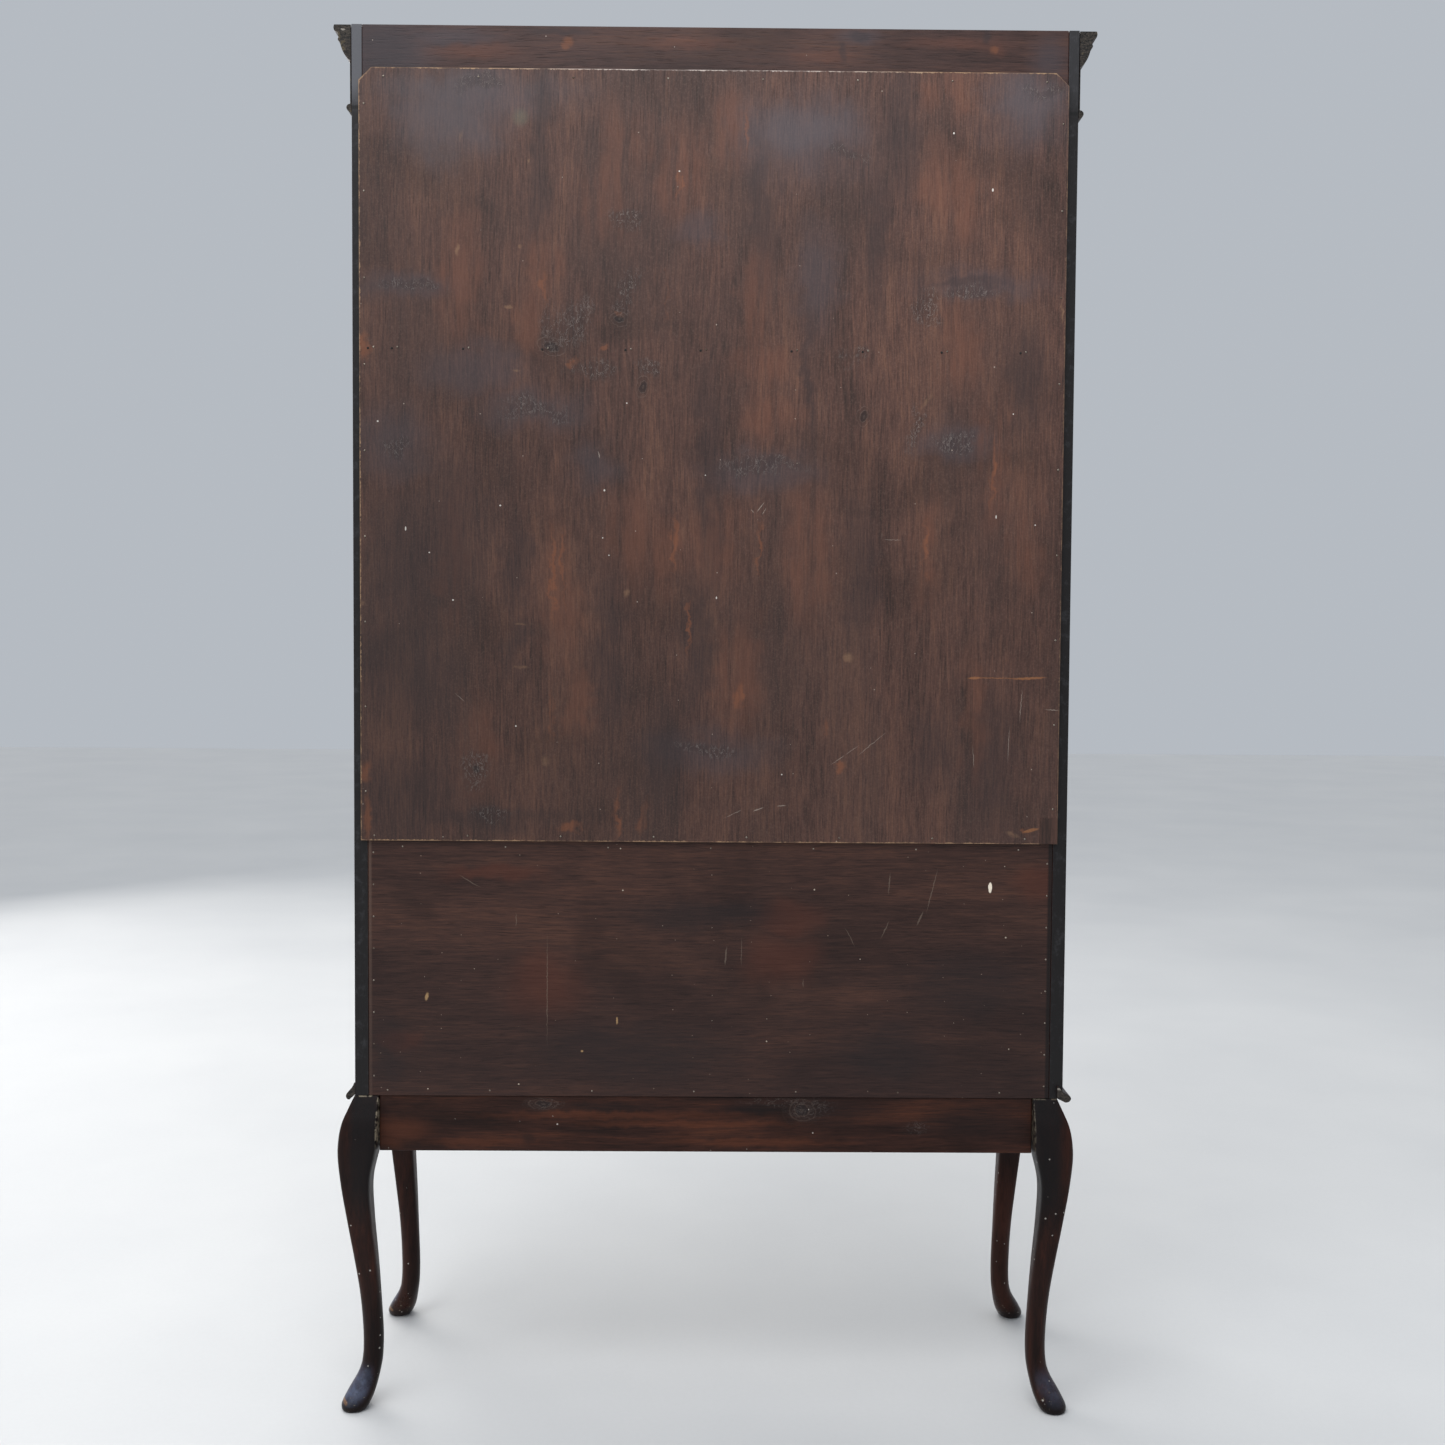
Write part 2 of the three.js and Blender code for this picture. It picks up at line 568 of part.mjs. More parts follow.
for (const [sideName, sideSign] of SIDES) {
  const windowArgs = [sideSign, UPPER_BOTTOM, UPPER_TOP, TOP_RAIL, BOTTOM_RAIL];
  const cutters = [
    doorWindow(...windowArgs, [DOOR_FACE - 5, DOOR_BACK + 5], 0),
    doorWindow(...windowArgs, [GLASS_FRONT, DOOR_BACK + 5], REBATE),
    ...hingeRecesses(sideSign, true, [hingeRows.upper]),
  ];
  if (sideSign > 0) {
    cutters.push(
      block(
        [LOCK_X - LOCK_WIDE / 2, LOCK_X + LOCK_WIDE / 2],
        [DOOR_BACK - LOCK_DEEP, DOOR_BACK + 5],
        [LOCK_Z - LOCK_TALL / 2, LOCK_Z + LOCK_TALL / 2],
      ),
      rod(KEYHOLE_RADIUS, 2 * DOOR_THICK, "y", [LOCK_X, DOOR_FACE, LOCK_Z]),
      slotAlongX([-5, LOCK_X], GAP),
    );
  } else {
    cutters.push(slotAlongX([-MEETING_X - BOLT_THROW - 1.5, 5], 0.6));
  }
  const doorX = outward(sideSign, MEETING_X, DOOR_EDGE_X);
  const slab = block(doorX, [DOOR_FACE, DOOR_BACK], [UPPER_BOTTOM, UPPER_TOP]);
  place(`upper_door_frame_${sideName}`, carve([slab], cutters), materials.showWood);
  place(`upper_door_bars_${sideName}`, doorBars(sideSign), materials.showWood);
  const pane = doorWindow(...windowArgs, [GLASS_FRONT + GAP, GLASS_FRONT + GAP + GLASS_THICK], REBATE - 1);
  pane.name = `upper_door_glass_${sideName}`;
  pane.material = materials.glass;
  cabinet.add(pane);
}

// ---------------------------------------------------------------- lock, key and slide bolt
place(
  "upper_lock_case",
  carve(
    [
      block(
        [LOCK_X - LOCK_WIDE / 2 + GAP, LOCK_X + LOCK_WIDE / 2 - GAP],
        [DOOR_BACK - LOCK_DEEP + GAP, DOOR_BACK],
        [LOCK_Z - LOCK_TALL / 2 + GAP, LOCK_Z + LOCK_TALL / 2 - GAP],
      ),
    ],
    [
      rod(KEYWAY_RADIUS, LOCK_DEEP * 2 - 4, "y", [LOCK_X, DOOR_BACK - LOCK_DEEP, LOCK_Z]),
      slotAlongX([-5, LOCK_X], GAP),
    ],
  ),
  materials.steel,
);
const boltTail = LOCK_X - KEYWAY_RADIUS - 1;
const lockBolt = slotAlongX([MEETING_X + 0.5, boltTail], 0);
lockBolt.name = "upper_lock_bolt";
lockBolt.material = materials.steel;
cabinet.add(lockBolt);

// The key: a round shank with a bit inside the lock, and an oval bow in front of the door.
const BOW_HALF_LONG = 7.5;
const BOW_HALF_WIDE = 10.5;
const BOW_WALL = 3.2;
const BOW_THICK = 3;

function keyGeometry() {
  const bowY = FRONT - FRONT_PROUD + BOW_HALF_LONG;
  const shankFrom = bowY + BOW_HALF_LONG - BOW_WALL / 2;
  const shankTo = DOOR_BACK - 3;
  const bow = new THREE.Shape().absellipse(0, 0, BOW_HALF_WIDE, BOW_HALF_LONG, 0, Math.PI * 2, false, 0);
  const eye = [BOW_HALF_WIDE - BOW_WALL, BOW_HALF_LONG - BOW_WALL];
  bow.holes.push(new THREE.Path().absellipse(0, 0, ...eye, 0, Math.PI * 2, true, 0));
  const ring = new THREE.ExtrudeGeometry(bow, { depth: BOW_THICK, bevelEnabled: false, curveSegments: 10 });
  ring.translate(0, 0, -BOW_THICK / 2);
  ring.rotateY(Math.PI / 2);
  const bowMesh = new THREE.Mesh(ring);
  bowMesh.position.set(LOCK_X, bowY, LOCK_Z);
  return carve([
    rod(2.4, shankTo - shankFrom, "y", [LOCK_X, (shankFrom + shankTo) / 2, LOCK_Z], 12),
    block([LOCK_X - 1, LOCK_X + 1], [DOOR_BACK - 8, DOOR_BACK - 4], [LOCK_Z - 4.8, LOCK_Z]),
    rod(3.6, 3, "y", [LOCK_X, shankFrom + 4, LOCK_Z], 12),
    bowMesh,
  ]);
}
place("upper_key", keyGeometry(), materials.brass);

// The slide bolt on the inside of the left door drops into the middle board.
const BOLT_LONG = 66;
const boltBottom = UPPER_BOTTOM + 1;
place(
  "upper_slide_bolt",
  carve([
    rod(BOLT_RADIUS, BOLT_LONG, "z", [BOLT_X, BOLT_Y, boltBottom + BOLT_LONG / 2], 12),
    rod(2, 7, "y", [BOLT_X, BOLT_Y + 4.5, boltBottom + BOLT_LONG - 14], 10),
    rod(3.6, 3, "y", [BOLT_X, BOLT_Y + 8.5, boltBottom + BOLT_LONG - 14], 12),
  ]),
  materials.brass,
);

// ---------------------------------------------------------------- cupboard doors
const LOWER_BOTTOM = BASE_TOP + BOARD_THICK + DOOR_GAP + 0.5;
const LOWER_TOP = MIDDLE_BOTTOM - DOOR_GAP;
const LOWER_RAIL = 44;
const GROOVE = 7;
const TONGUE = 6;
const grooveY = [DOOR_FACE + 7, DOOR_FACE + 7 + TONGUE + 2 * GAP];
const KNOB_Z = LOWER_TOP - 66;
const KNOB_X = MEETING_X + STILE / 2;

// A fielded panel: a tongue all round, a wide bevel, and a flat raised field in front.
function fieldedPanel(sideSign) {
  const margin = GROOVE - 1;
  const [x0, x1] = outward(sideSign, MEETING_X + STILE - margin, DOOR_EDGE_X - STILE + margin);
  const [z0, z1] = [LOWER_BOTTOM + LOWER_RAIL - margin, LOWER_TOP - LOWER_RAIL + margin];
  const outline = new THREE.Shape().moveTo(-1, -1).lineTo(1, -1).lineTo(1, 1).lineTo(-1, 1).closePath();
  const geometry = new THREE.ExtrudeGeometry(outline, { depth: 4, steps: 4, bevelEnabled: false });
  const points = geometry.attributes.position;
  // How far in from the panel's edge, and at what depth, each layer lies, from the back forwards.
  const layers = [
    [0, grooveY[1] - GAP],
    [0, grooveY[0] + GAP],
    [GROOVE + 3, grooveY[0] + GAP],
    [GROOVE + 27, DOOR_FACE + 2.6],
    [GROOVE + 27.5, DOOR_FACE + 1],
  ];
  for (let i = 0; i < points.count; i++) {
    const [inset, y] = layers[Math.round(points.getZ(i))];
    const x = points.getX(i) < 0 ? x0 + inset : x1 - inset;
    const z = points.getY(i) < 0 ? z0 + inset : z1 - inset;
    points.setXYZ(i, x, y, z);
  }
  return geometry;
}

const knobProfile = [
  [0, 0],
  [9, 0],
  [9, 2],
  [5, 4],
  [4.6, 10],
  [9, 13],
  [12.5, 17],
  [12.8, 21],
  [9.5, 25],
  [4, FRONT_PROUD + DOOR_SET_BACK - 0.4],
  [0, FRONT_PROUD + DOOR_SET_BACK],
];

for (const [sideName, sideSign] of SIDES) {
  const windowArgs = [sideSign, LOWER_BOTTOM, LOWER_TOP, LOWER_RAIL, LOWER_RAIL];
  const doorX = outward(sideSign, MEETING_X, DOOR_EDGE_X);
  const slab = block(doorX, [DOOR_FACE, DOOR_BACK], [LOWER_BOTTOM, LOWER_TOP]);
  place(
    `lower_door_frame_${sideName}`,
    carve(
      [slab],
      [
        doorWindow(...windowArgs, [DOOR_FACE - 5, DOOR_BACK + 5], 0),
        doorWindow(...windowArgs, grooveY, GROOVE),
        ...hingeRecesses(sideSign, true, [hingeRows.lower]),
      ],
    ),
    materials.showWood,
  );
  place(`lower_door_panel_${sideName}`, fieldedPanel(sideSign), materials.showWood);
  const knob = place(
    `lower_knob_${sideName}`,
    new THREE.LatheGeometry(knobProfile.map(([r, y]) => new THREE.Vector2(r, y)), 16),
    materials.brass,
  );
  knob.rotation.x = Math.PI; // the lathe's axis points forward, out of the door
  knob.position.set(sideSign * KNOB_X, DOOR_FACE - GAP, KNOB_Z);
}

export default cabinet;
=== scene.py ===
"""The looks of a curio cabinet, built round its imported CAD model. Metres, in the model's own frame:
+Z up, the doors face -Y and the plain back faces +Y. Sizes below that are written in millimetres are
multiplied by MM. The camera looks at the back."""

import math

import bmesh
import bpy
from mathutils import Matrix, Vector, noise


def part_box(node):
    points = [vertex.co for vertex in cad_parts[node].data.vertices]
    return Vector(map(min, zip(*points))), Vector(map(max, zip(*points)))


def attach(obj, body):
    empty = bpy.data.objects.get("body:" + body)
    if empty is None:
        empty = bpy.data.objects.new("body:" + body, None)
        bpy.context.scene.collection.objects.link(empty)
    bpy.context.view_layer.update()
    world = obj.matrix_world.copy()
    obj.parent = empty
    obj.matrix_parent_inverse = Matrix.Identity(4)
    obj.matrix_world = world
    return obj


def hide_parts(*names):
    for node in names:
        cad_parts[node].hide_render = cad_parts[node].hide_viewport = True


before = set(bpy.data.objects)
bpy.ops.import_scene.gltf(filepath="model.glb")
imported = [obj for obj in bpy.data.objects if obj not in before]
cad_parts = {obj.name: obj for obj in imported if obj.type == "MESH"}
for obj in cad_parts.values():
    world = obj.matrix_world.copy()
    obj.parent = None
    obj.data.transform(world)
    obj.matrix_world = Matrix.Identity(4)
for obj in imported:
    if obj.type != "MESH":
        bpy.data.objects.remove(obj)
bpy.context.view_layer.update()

# ------------------------------------------------------------------ planes taken from the frame
MM = 0.001
TURN = 2 * math.pi
side_low, side_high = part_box("side_frame_right")
HALF_WIDTH = side_high.x
INNER_X = side_low.x
FRONT = side_low.y
BACK = side_high.y
BASE_TOP = side_low.z
SIDES = (("left", -1), ("right", 1))
APRON_INSET = 3 * MM  # the side aprons lie this far inside the legs' outer faces
LEG_FACE = {-1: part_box("apron_left")[0].x - APRON_INSET, 1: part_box("apron_right")[1].x + APRON_INSET}
LEG_FRAME_MIDDLE = (LEG_FACE[-1] + LEG_FACE[1]) / 2
LEG_FRAME_HALF = (LEG_FACE[1] - LEG_FACE[-1]) / 2


# ------------------------------------------------------------------ shader helpers
class Shader:
    """A material's node tree, with a short call for each kind of node that it needs."""

    def __init__(self, name):
        self.material = bpy.data.materials.new(name)
        self.material.use_nodes = True
        self.tree = self.material.node_tree
        self.surface = self.tree.nodes["Principled BSDF"]
        self.position = self.node("TexCoord").outputs["Object"]

    def node(self, kind, **settings):
        made = self.tree.nodes.new("ShaderNode" + kind)
        for key, value in settings.items():
            setattr(made, key, value)
        return made

    def feed(self, socket, value):
        if isinstance(value, bpy.types.NodeSocket):
            self.tree.links.new(value, socket)
        else:
            socket.default_value = value

    def set(self, **inputs):
        for key, value in inputs.items():
            self.feed(self.surface.inputs[key.replace("_", " ")], value)

    def math(self, operation, *values):
        made = self.node("Math", operation=operation)
        for socket, value in zip(made.inputs, values):
            self.feed(socket, value)
        return made.outputs[0]

    def times(self, a, b):
        return self.math("MULTIPLY", a, b)

    def apart(self, a, b):
        """How far two values are from each other."""
        return self.math("ABSOLUTE", self.math("SUBTRACT", a, b))

    def vector(self, operation, *values, scale=None):
        made = self.node("VectorMath", operation=operation)
        for socket, value in zip(made.inputs, values):
            self.feed(socket, value)
        if scale is not None:
            self.feed(made.inputs["Scale"], scale)
        return made.outputs["Value" if operation in ("LENGTH", "DOT_PRODUCT") else 0]

    def ramp(self, value, low, high, start=0.0, end=1.0):
        """Goes smoothly from start, where the value is low, to end, where it is high."""
        made = self.node("MapRange", interpolation_type="SMOOTHSTEP")
        for socket, number in zip(made.inputs, (value, low, high, start, end)):
            self.feed(socket, number)
        return made.outputs[0]

    def mix(self, share, a, b, blend="MIX"):
        made = self.node("Mix", data_type="RGBA", blend_type=blend)
        self.feed(made.inputs[0], share)
        self.feed(made.inputs[6], a)
        self.feed(made.inputs[7], b)
        return made.outputs[2]

    def noise(self, vector, scale, detail=3.0, roughness=0.55, distortion=0.0, out="Fac"):
        made = self.node("TexNoise")
        self.feed(made.inputs["Vector"], vector)
        settings = {"Scale": scale, "Detail": detail, "Roughness": roughness, "Distortion": distortion}
        for key, value in settings.items():
            made.inputs[key].default_value = value
        return made.outputs[out]

    def cells(self, vector, scale, flat):
        """Distance to the nearest of some scattered points, and a random colour for each point."""
        made = self.node("TexVoronoi", voronoi_dimensions="2D" if flat else "3D")
        self.feed(made.inputs["Vector"], vector)
        made.inputs["Scale"].default_value = scale
        return made.outputs["Distance"], made.outputs["Color"]

    def colours(self, value, stops):
        made = self.node("ValToRGB")
        self.feed(made.inputs[0], value)
        elements = made.color_ramp.elements
        while len(elements) < len(stops):
            elements.new(0.5)
        for element, (place, colour) in zip(elements, stops):
            element.position = place
            element.color = colour
        return made.outputs[0]

    def split(self, vector):
        made = self.node("SeparateXYZ")
        self.feed(made.inputs[0], vector)
        return made.outputs

    def join(self, x, y, z=0.0):
        made = self.node("CombineXYZ")
        for socket, value in zip(made.inputs, (x, y, z)):
            self.feed(socket, value)
        return made.outputs[0]

    def bump(self, height, distance, strength=1.0):
        made = self.node("Bump")
        made.inputs["Distance"].default_value = distance
        made.inputs["Strength"].default_value = strength
        self.feed(made.inputs["Height"], height)
        return made.outputs[0]


def shade(red, green, blue):
    """A colour given as it looks on a screen, from 0 to 255, made linear."""

    def linear(value):
        value /= 255
        return value / 12.92 if value <= 0.04045 else ((value + 0.055) / 1.055) ** 2.4

    return (linear(red), linear(green), linear(blue), 1.0)


def spread(shader, spots, wobble):
    """How far a point is from the nearest of some spots: 0 at its middle and 1 at its rim. A spot is x, z,
    half width and half height in mm, and a tilt in degrees if it has one. They lie on faces along Y."""
    nearest = None
    for x, z, half_x, half_z, *tilt in spots:
        place = wobble
        if tilt:
            turn = shader.node("VectorRotate", rotation_type="Y_AXIS")
            shader.feed(turn.inputs["Vector"], wobble)
            turn.inputs["Center"].default_value = (x * MM, 0, z * MM)
            turn.inputs["Angle"].default_value = math.radians(tilt[0])
            place = turn.outputs[0]
        shrink = (1 / (half_x * MM), 0, 1 / (half_z * MM))
        away = shader.vector("MULTIPLY_ADD", place, shrink, (-x / half_x, 0, -z / half_z))
        away = shader.vector("LENGTH", away)
        nearest = away if nearest is None else shader.math("MINIMUM", nearest, away)
    return nearest


def marks(shader, spots, wobble, share, soft=0.8):
    """A mask of soft spots. The lower soft is, the crisper their edges."""
    return shader.ramp(spread(shader, spots, wobble), 1 + soft / 2, 1 - soft / 2, 0.0, share)


def stained(shader, colour, wobble, *stains, feather=None):
    """Lays marks over a colour. A stain is its spots, share, softness and shade. A feather breaks them up."""
    for spots, share, soft, tone in stains:
        mask = marks(shader, spots, wobble, share, soft)
        if feather:
            mask = shader.times(mask, feather)
        colour = shader.mix(mask, colour, shade(*tone))
    return colour


# ------------------------------------------------------------------ wood
# How much positions shrink along the grain, for its fibres and for its broad bands.
ALONG = {"x": (0.06, 1, 1), "y": (1, 0.06, 1), "z": (1, 1, 0.06)}
DRAWN = {"x": (0.24, 1, 1), "y": (1, 0.24, 1), "z": (1, 1, 0.24)}


def inside_boxes(shader, boxes):
    """1 inside any of the upright boxes, each ((x, z), (x, z)), and 0 outside."""
    x, _, z = shader.split(shader.position)
    inside = None
    for (x0, z0), (x1, z1) in boxes:
        here = None
        for value, low, high in ((x, x0, x1), (z, z0, z1)):
            for test in (shader.math("GREATER_THAN", value, low), shader.math("LESS_THAN", value, high)):
                here = test if here is None else shader.times(here, test)
        inside = here if inside is None else shader.math("MAXIMUM", inside, here)
    return inside


def grain_positions(shader, grain, cross_grain_boxes):
    """Two positions drawn out along the grain, much for fibres and less for broad bands of colour.
    Inside the cross grain boxes they run along X."""
    chance = shader.node("ObjectInfo").outputs["Random"]
    shift = shader.vector("SCALE", (7.3, 11.9, 5.7), scale=chance)
    moved = shader.vector("ADD", shader.position, shift)
    bend = shader.noise(shader.vector("MULTIPLY", moved, DRAWN[grain]), 4.0, 2.0, out="Color")
    bend = shader.vector("SCALE", shader.vector("SUBTRACT", bend, (0.5, 0.5, 0.5)), scale=0.04)
    moved = shader.vector("ADD", moved, bend)
    along, drawn = (shader.vector("MULTIPLY", moved, table[grain]) for table in (ALONG, DRAWN))
    if cross_grain_boxes:
        inside = inside_boxes(shader, cross_grain_boxes)
        along = shader.mix(inside, along, shader.vector("MULTIPLY", moved, ALONG["x"]))
        drawn = shader.mix(inside, drawn, shader.vector("MULTIPLY", moved, DRAWN["x"]))
    return along, drawn


def wood(
    name, grain, dark, middle, light, gloss, coat=0.0, shine=0.5, figure=0.35, wear=0.5,
    bands=0.6, streaks=0.9, fibres=0.5, cross=(), finish=None,
):
    """Stained and polished wood. finish(shader, colour, height, rough) adds what one board has of its own."""
    shader = Shader(name)
    along, drawn = grain_positions(shader, grain, cross)
    band = shader.math("SUBTRACT", shader.noise(drawn, 12.0, 4.0, 0.6, 0.5), 0.5)
    streak = shader.math("SUBTRACT", shader.noise(along, 30.0, 4.0, 0.6, 0.6), 0.5)
    fibre = shader.noise(along, 380.0, 4.0, 0.75)
    pores = shader.ramp(shader.noise(along, 700.0, 1.0), 0.56, 0.7)
    rings = shader.math("SINE", shader.times(shader.noise(along, 9.0, 1.0, 0.4), 60.0))
    value = shader.math("MULTIPLY_ADD", rings, 0.12 * figure, 0.5)
    value = shader.math("MULTIPLY_ADD", band, bands, value)
    value = shader.math("MULTIPLY_ADD", streak, streaks, value)
    value = shader.math("MULTIPLY_ADD", shader.math("SUBTRACT", fibre, 0.5), fibres, value)
    colour = shader.colours(value, ((0.3, dark), (0.5, middle), (0.7, light)))
    colour = shader.mix(shader.times(pores, 0.3), colour, dark, "MULTIPLY")
    blotch = shader.noise(shader.position, 5.5, 3.0, 0.6, 0.8)
    shadow = shader.ramp(blotch, 0.45, 0.72, 0.0, 0.45)
    colour = shader.mix(shadow, colour, tuple(0.62 * c for c in dark[:3]) + (1.0,))
    scuff = shader.noise(shader.position, 60.0, 4.0, 0.7)
    worn = shader.times(shader.ramp(scuff, 0.62, 0.75), wear * 0.35)
    colour = shader.mix(worn, colour, light)
    rough = shader.math("MULTIPLY_ADD", scuff, 0.22, gloss - 0.1)
    rough = shader.math("MULTIPLY_ADD", pores, 0.12, rough)
    height = shader.math("MULTIPLY_ADD", pores, -0.6, fibre)
    if finish:
        colour, height, rough = finish(shader, colour, height, rough)
    shader.set(Base_Color=colour, Roughness=rough, Normal=shader.bump(height, 0.25 * MM, 0.5))
    shader.set(Specular_IOR_Level=shine, Coat_Weight=coat, Coat_Roughness=0.18)
    return shader.material


BLACK_BROWN = (shade(21, 13, 12), shade(35, 19, 16), shade(56, 30, 23))
RED_BROWN = (shade(38, 21, 17), shade(64, 34, 25), shade(94, 52, 34))
INSIDE_BROWN = (shade(62, 38, 28), shade(88, 57, 40), shade(112, 76, 53))
PALE_PLY = shade(176, 142, 108)


def specks(shader, colour, scale, size, tone, share, flat=True):
    """Tiny pale flecks of paint and lint, on some of the scattered points. Flat boards have them only on
    their faces that look along Y."""
    x, _, z = shader.split(shader.position)
    place = shader.join(x, z) if flat else shader.position
    distance, chance = shader.cells(place, scale, flat)
    chosen = shader.math("GREATER_THAN", shader.split(chance)[0], 1 - share)
    varied = shader.math("MULTIPLY_ADD", shader.split(chance)[1], size * scale * 0.9, size * scale * 0.35)
    fleck = shader.times(shader.math("LESS_THAN", distance, varied), chosen)
    return shader.mix(shader.times(fleck, 0.75), colour, tone)


def wobbled(shader, amount, scale):
    """Position shaken by noise, so that a mark drawn with it has an uneven edge."""
    shake = shader.noise(shader.position, scale, 3.0, 0.6, out="Color")
    shake = shader.vector("SCALE", shader.vector("SUBTRACT", shake, (0.5, 0.5, 0.5)), scale=amount)
    return shader.vector("ADD", shader.position, shake)


# ------------------------------------------------------------------ the upper back panel's own marks
# Each mark is x, z, half width, half height in mm, and a tilt in degrees if it has one.
UPPER_LOW, UPPER_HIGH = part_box("back_panel_upper")
CLIPPED_CORNER = 16 * MM
# Grey patches: partly grey haze in the varnish and partly painted sky reflection, most towards the top.
UPPER_GREY_AND_SKY_SHEEN = (
    (330, 1670, 70, 45), (385, 1445, 55, 20), (-110, 1630, 80, 50), (-390, 1670, 50, 55),
    (-340, 1450, 70, 20), (20, 1515, 25, 20), (405, 1250, 45, 40), (225, 1290, 60, 25), (-60, 1215, 65, 25),
    (0, 860, 70, 25), (-305, 1255, 45, 20), (-130, 1460, 25, 60), (300, 1340, 60, 30), (150, 1225, 30, 30),
)
# Painted sky reflection: a blue-grey sheen along the top of the panel.
UPPER_SKY_SHEEN = ((300, 1685, 110, 28), (335, 1645, 60, 40), (-390, 1680, 40, 30), (-110, 1640, 60, 30))
UPPER_DARK = (
    (395, 800, 70, 60), (400, 960, 60, 90), (330, 1130, 40, 80), (220, 1640, 12, 75), (225, 1560, 15, 50),
    (250, 1095, 15, 60), (250, 995, 15, 30), (-235, 1650, 20, 90), (-205, 1520, 15, 80), (-120, 1330, 6, 70),
    (130, 985, 20, 90), (-315, 1455, 45, 6), (-280, 865, 25, 45), (300, 770, 110, 15), (5, 1200, 15, 130),
    (20, 1000, 20, 90), (-190, 1090, 20, 80), (60, 850, 25, 60), (385, 1090, 45, 90), (-60, 1540, 15, 80),
    (-400, 1330, 30, 60), (-360, 840, 30, 80),
)
UPPER_ORANGE = (
    (40, 1590, 25, 60), (150, 1550, 20, 45), (215, 1455, 15, 55), (320, 1450, 25, 70), (120, 1590, 30, 70),
    (-55, 1430, 20, 65), (-290, 1580, 25, 45), (-315, 1550, 15, 40), (-305, 1370, 30, 50),
    (-355, 1235, 20, 80), (195, 1060, 20, 80), (100, 1130, 35, 60), (60, 1110, 15, 40), (170, 915, 15, 55),
    (0, 1120, 35, 50), (-35, 960, 25, 65), (-120, 1110, 25, 80), (-270, 1115, 15, 60), (-335, 900, 15, 70),
    (-20, 1640, 20, 50), (-70, 1290, 30, 25), (300, 860, 25, 60), (330, 1100, 15, 70), (-290, 1690, 30, 20),
    (-400, 1140, 20, 60), (-60, 1350, 30, 25), (230, 1400, 20, 40),
)
UPPER_RUST = (
    (440, 1370, 6, 15), (120, 775, 4, 25), (85, 775, 5, 20, 12), (180, 760, 12, 5), (440, 830, 6, 12),
    (440, 770, 5, 25), (30, 1020, 2, 30), (-145, 890, 2.5, 9), (-165, 840, 5, 6), (50, 1125, 3, 30),
    (205, 900, 3, 30), (180, 1350, 8, 5), (-35, 930, 5, 15), (-355, 1235, 3, 50), (140, 1370, 5, 4),
    (120, 1410, 6, 3), (215, 1440, 3, 20), (190, 1095, 2.5, 45), (203, 1080, 2.5, 50), (-400, 755, 4, 5),
    (-40, 1640, 2.5, 20), (45, 1575, 2.5, 15), (-270, 1115, 2.5, 30), (60, 1440, 2, 30), (-60, 1120, 2, 30),
)
UPPER_TAN = (
    (235, 1600, 1.6, 3), (320, 1630, 2, 6), (325, 1490, 2, 7), (245, 1020, 5, 1.2), (245, 965, 7, 1.5),
    (110, 1060, 3, 4), (445, 1045, 4, 3), (-270, 1305, 2.5, 10, 35), (-175, 980, 6, 5), (210, 845, 5, 6),
    (-440, 1420, 1.2, 14), (-385, 755, 9, 2, 20), (245, 1495, 2, 2), (250, 1340, 4, 1.5), (260, 1420, 5, 2),
)
UPPER_GREEN = ((245, 1655, 8, 9),)
UPPER_SCUFF = ((-335, 955, 8, 1.5), (-360, 955, 30, 0.5), (-405, 955, 20, 1.5, -3), (-410, 760, 10, 2, -14))
UPPER_SCRATCH = (
    (-60, 785, 6, 0.7, -20), (-90, 790, 5, 0.6, -6), (-170, 855, 20, 0.3, -35), (-205, 870, 20, 0.3, -40),
    (145, 1235, 0.7, 4, -15), (-60, 1170, 7, 0.5, -50), (-65, 1165, 4, 0.4, -60), (-50, 1165, 3, 0.4, 50),
    (-395, 920, 0.35, 18, 4), (-335, 855, 0.35, 12, -5), (-215, 1135, 0.5, 3.5), (-230, 1130, 12, 0.3, 2),
    (-435, 915, 8, 0.4, 4), (320, 925, 9, 0.3, 40), (-30, 780, 12, 0.3, -25), (-380, 870, 0.3, 20, 2),
)
UPPER_DOTS = (
    (138, 1190, 1.1, 1.3), (140, 1130, 0.8, 0.8), (132, 1108, 0.8, 0.8), (390, 1140, 0.9, 2.6),
    (110, 1300, 0.9, 0.8), (-5, 1055, 0.8, 1.6), (-360, 1160, 0.7, 2.2), (45, 1590, 1.1, 0.9),
    (-300, 1640, 1, 1.3), (-350, 1570, 1.1, 2), (-380, 1290, 0.8, 0.8), (425, 1275, 1.2, 1),
    (270, 1170, 1.2, 1), (360, 1110, 1, 0.8), (330, 1050, 1.2, 1), (-410, 1150, 0.8, 0.8),
    (10, 1210, 0.7, 0.7), (250, 890, 1, 1), (-90, 830, 0.9, 0.9),
)
UPPER_CRINKLE = (
    (290, 1695, 25, 9), (110, 1440, 13, 28, 18), (185, 1400, 24, 30, 30), (150, 1345, 34, 10),
    (110, 1535, 24, 8), (225, 1290, 34, 14), (385, 1445, 30, 9), (-165, 1610, 26, 8), (-330, 1440, 32, 9),
    (-270, 1425, 14, 22), (-305, 1255, 22, 11), (-60, 1225, 46, 11), (-415, 1695, 22, 9, -20),
    (5, 865, 36, 10), (280, 775, 24, 8), (300, 835, 18, 22), (-175, 1360, 12, 14), (-255, 1275, 8, 22),
    (400, 1245, 20, 10), (85, 1345, 10, 8),
)
UPPER_KNOTS = (
    (90, 1320, 5.5, 9, 10), (205, 1370, 12, 7, 20), (120, 1405, 7, 6), (-190, 1285, 5, 8), (300, 835, 5, 6),
)


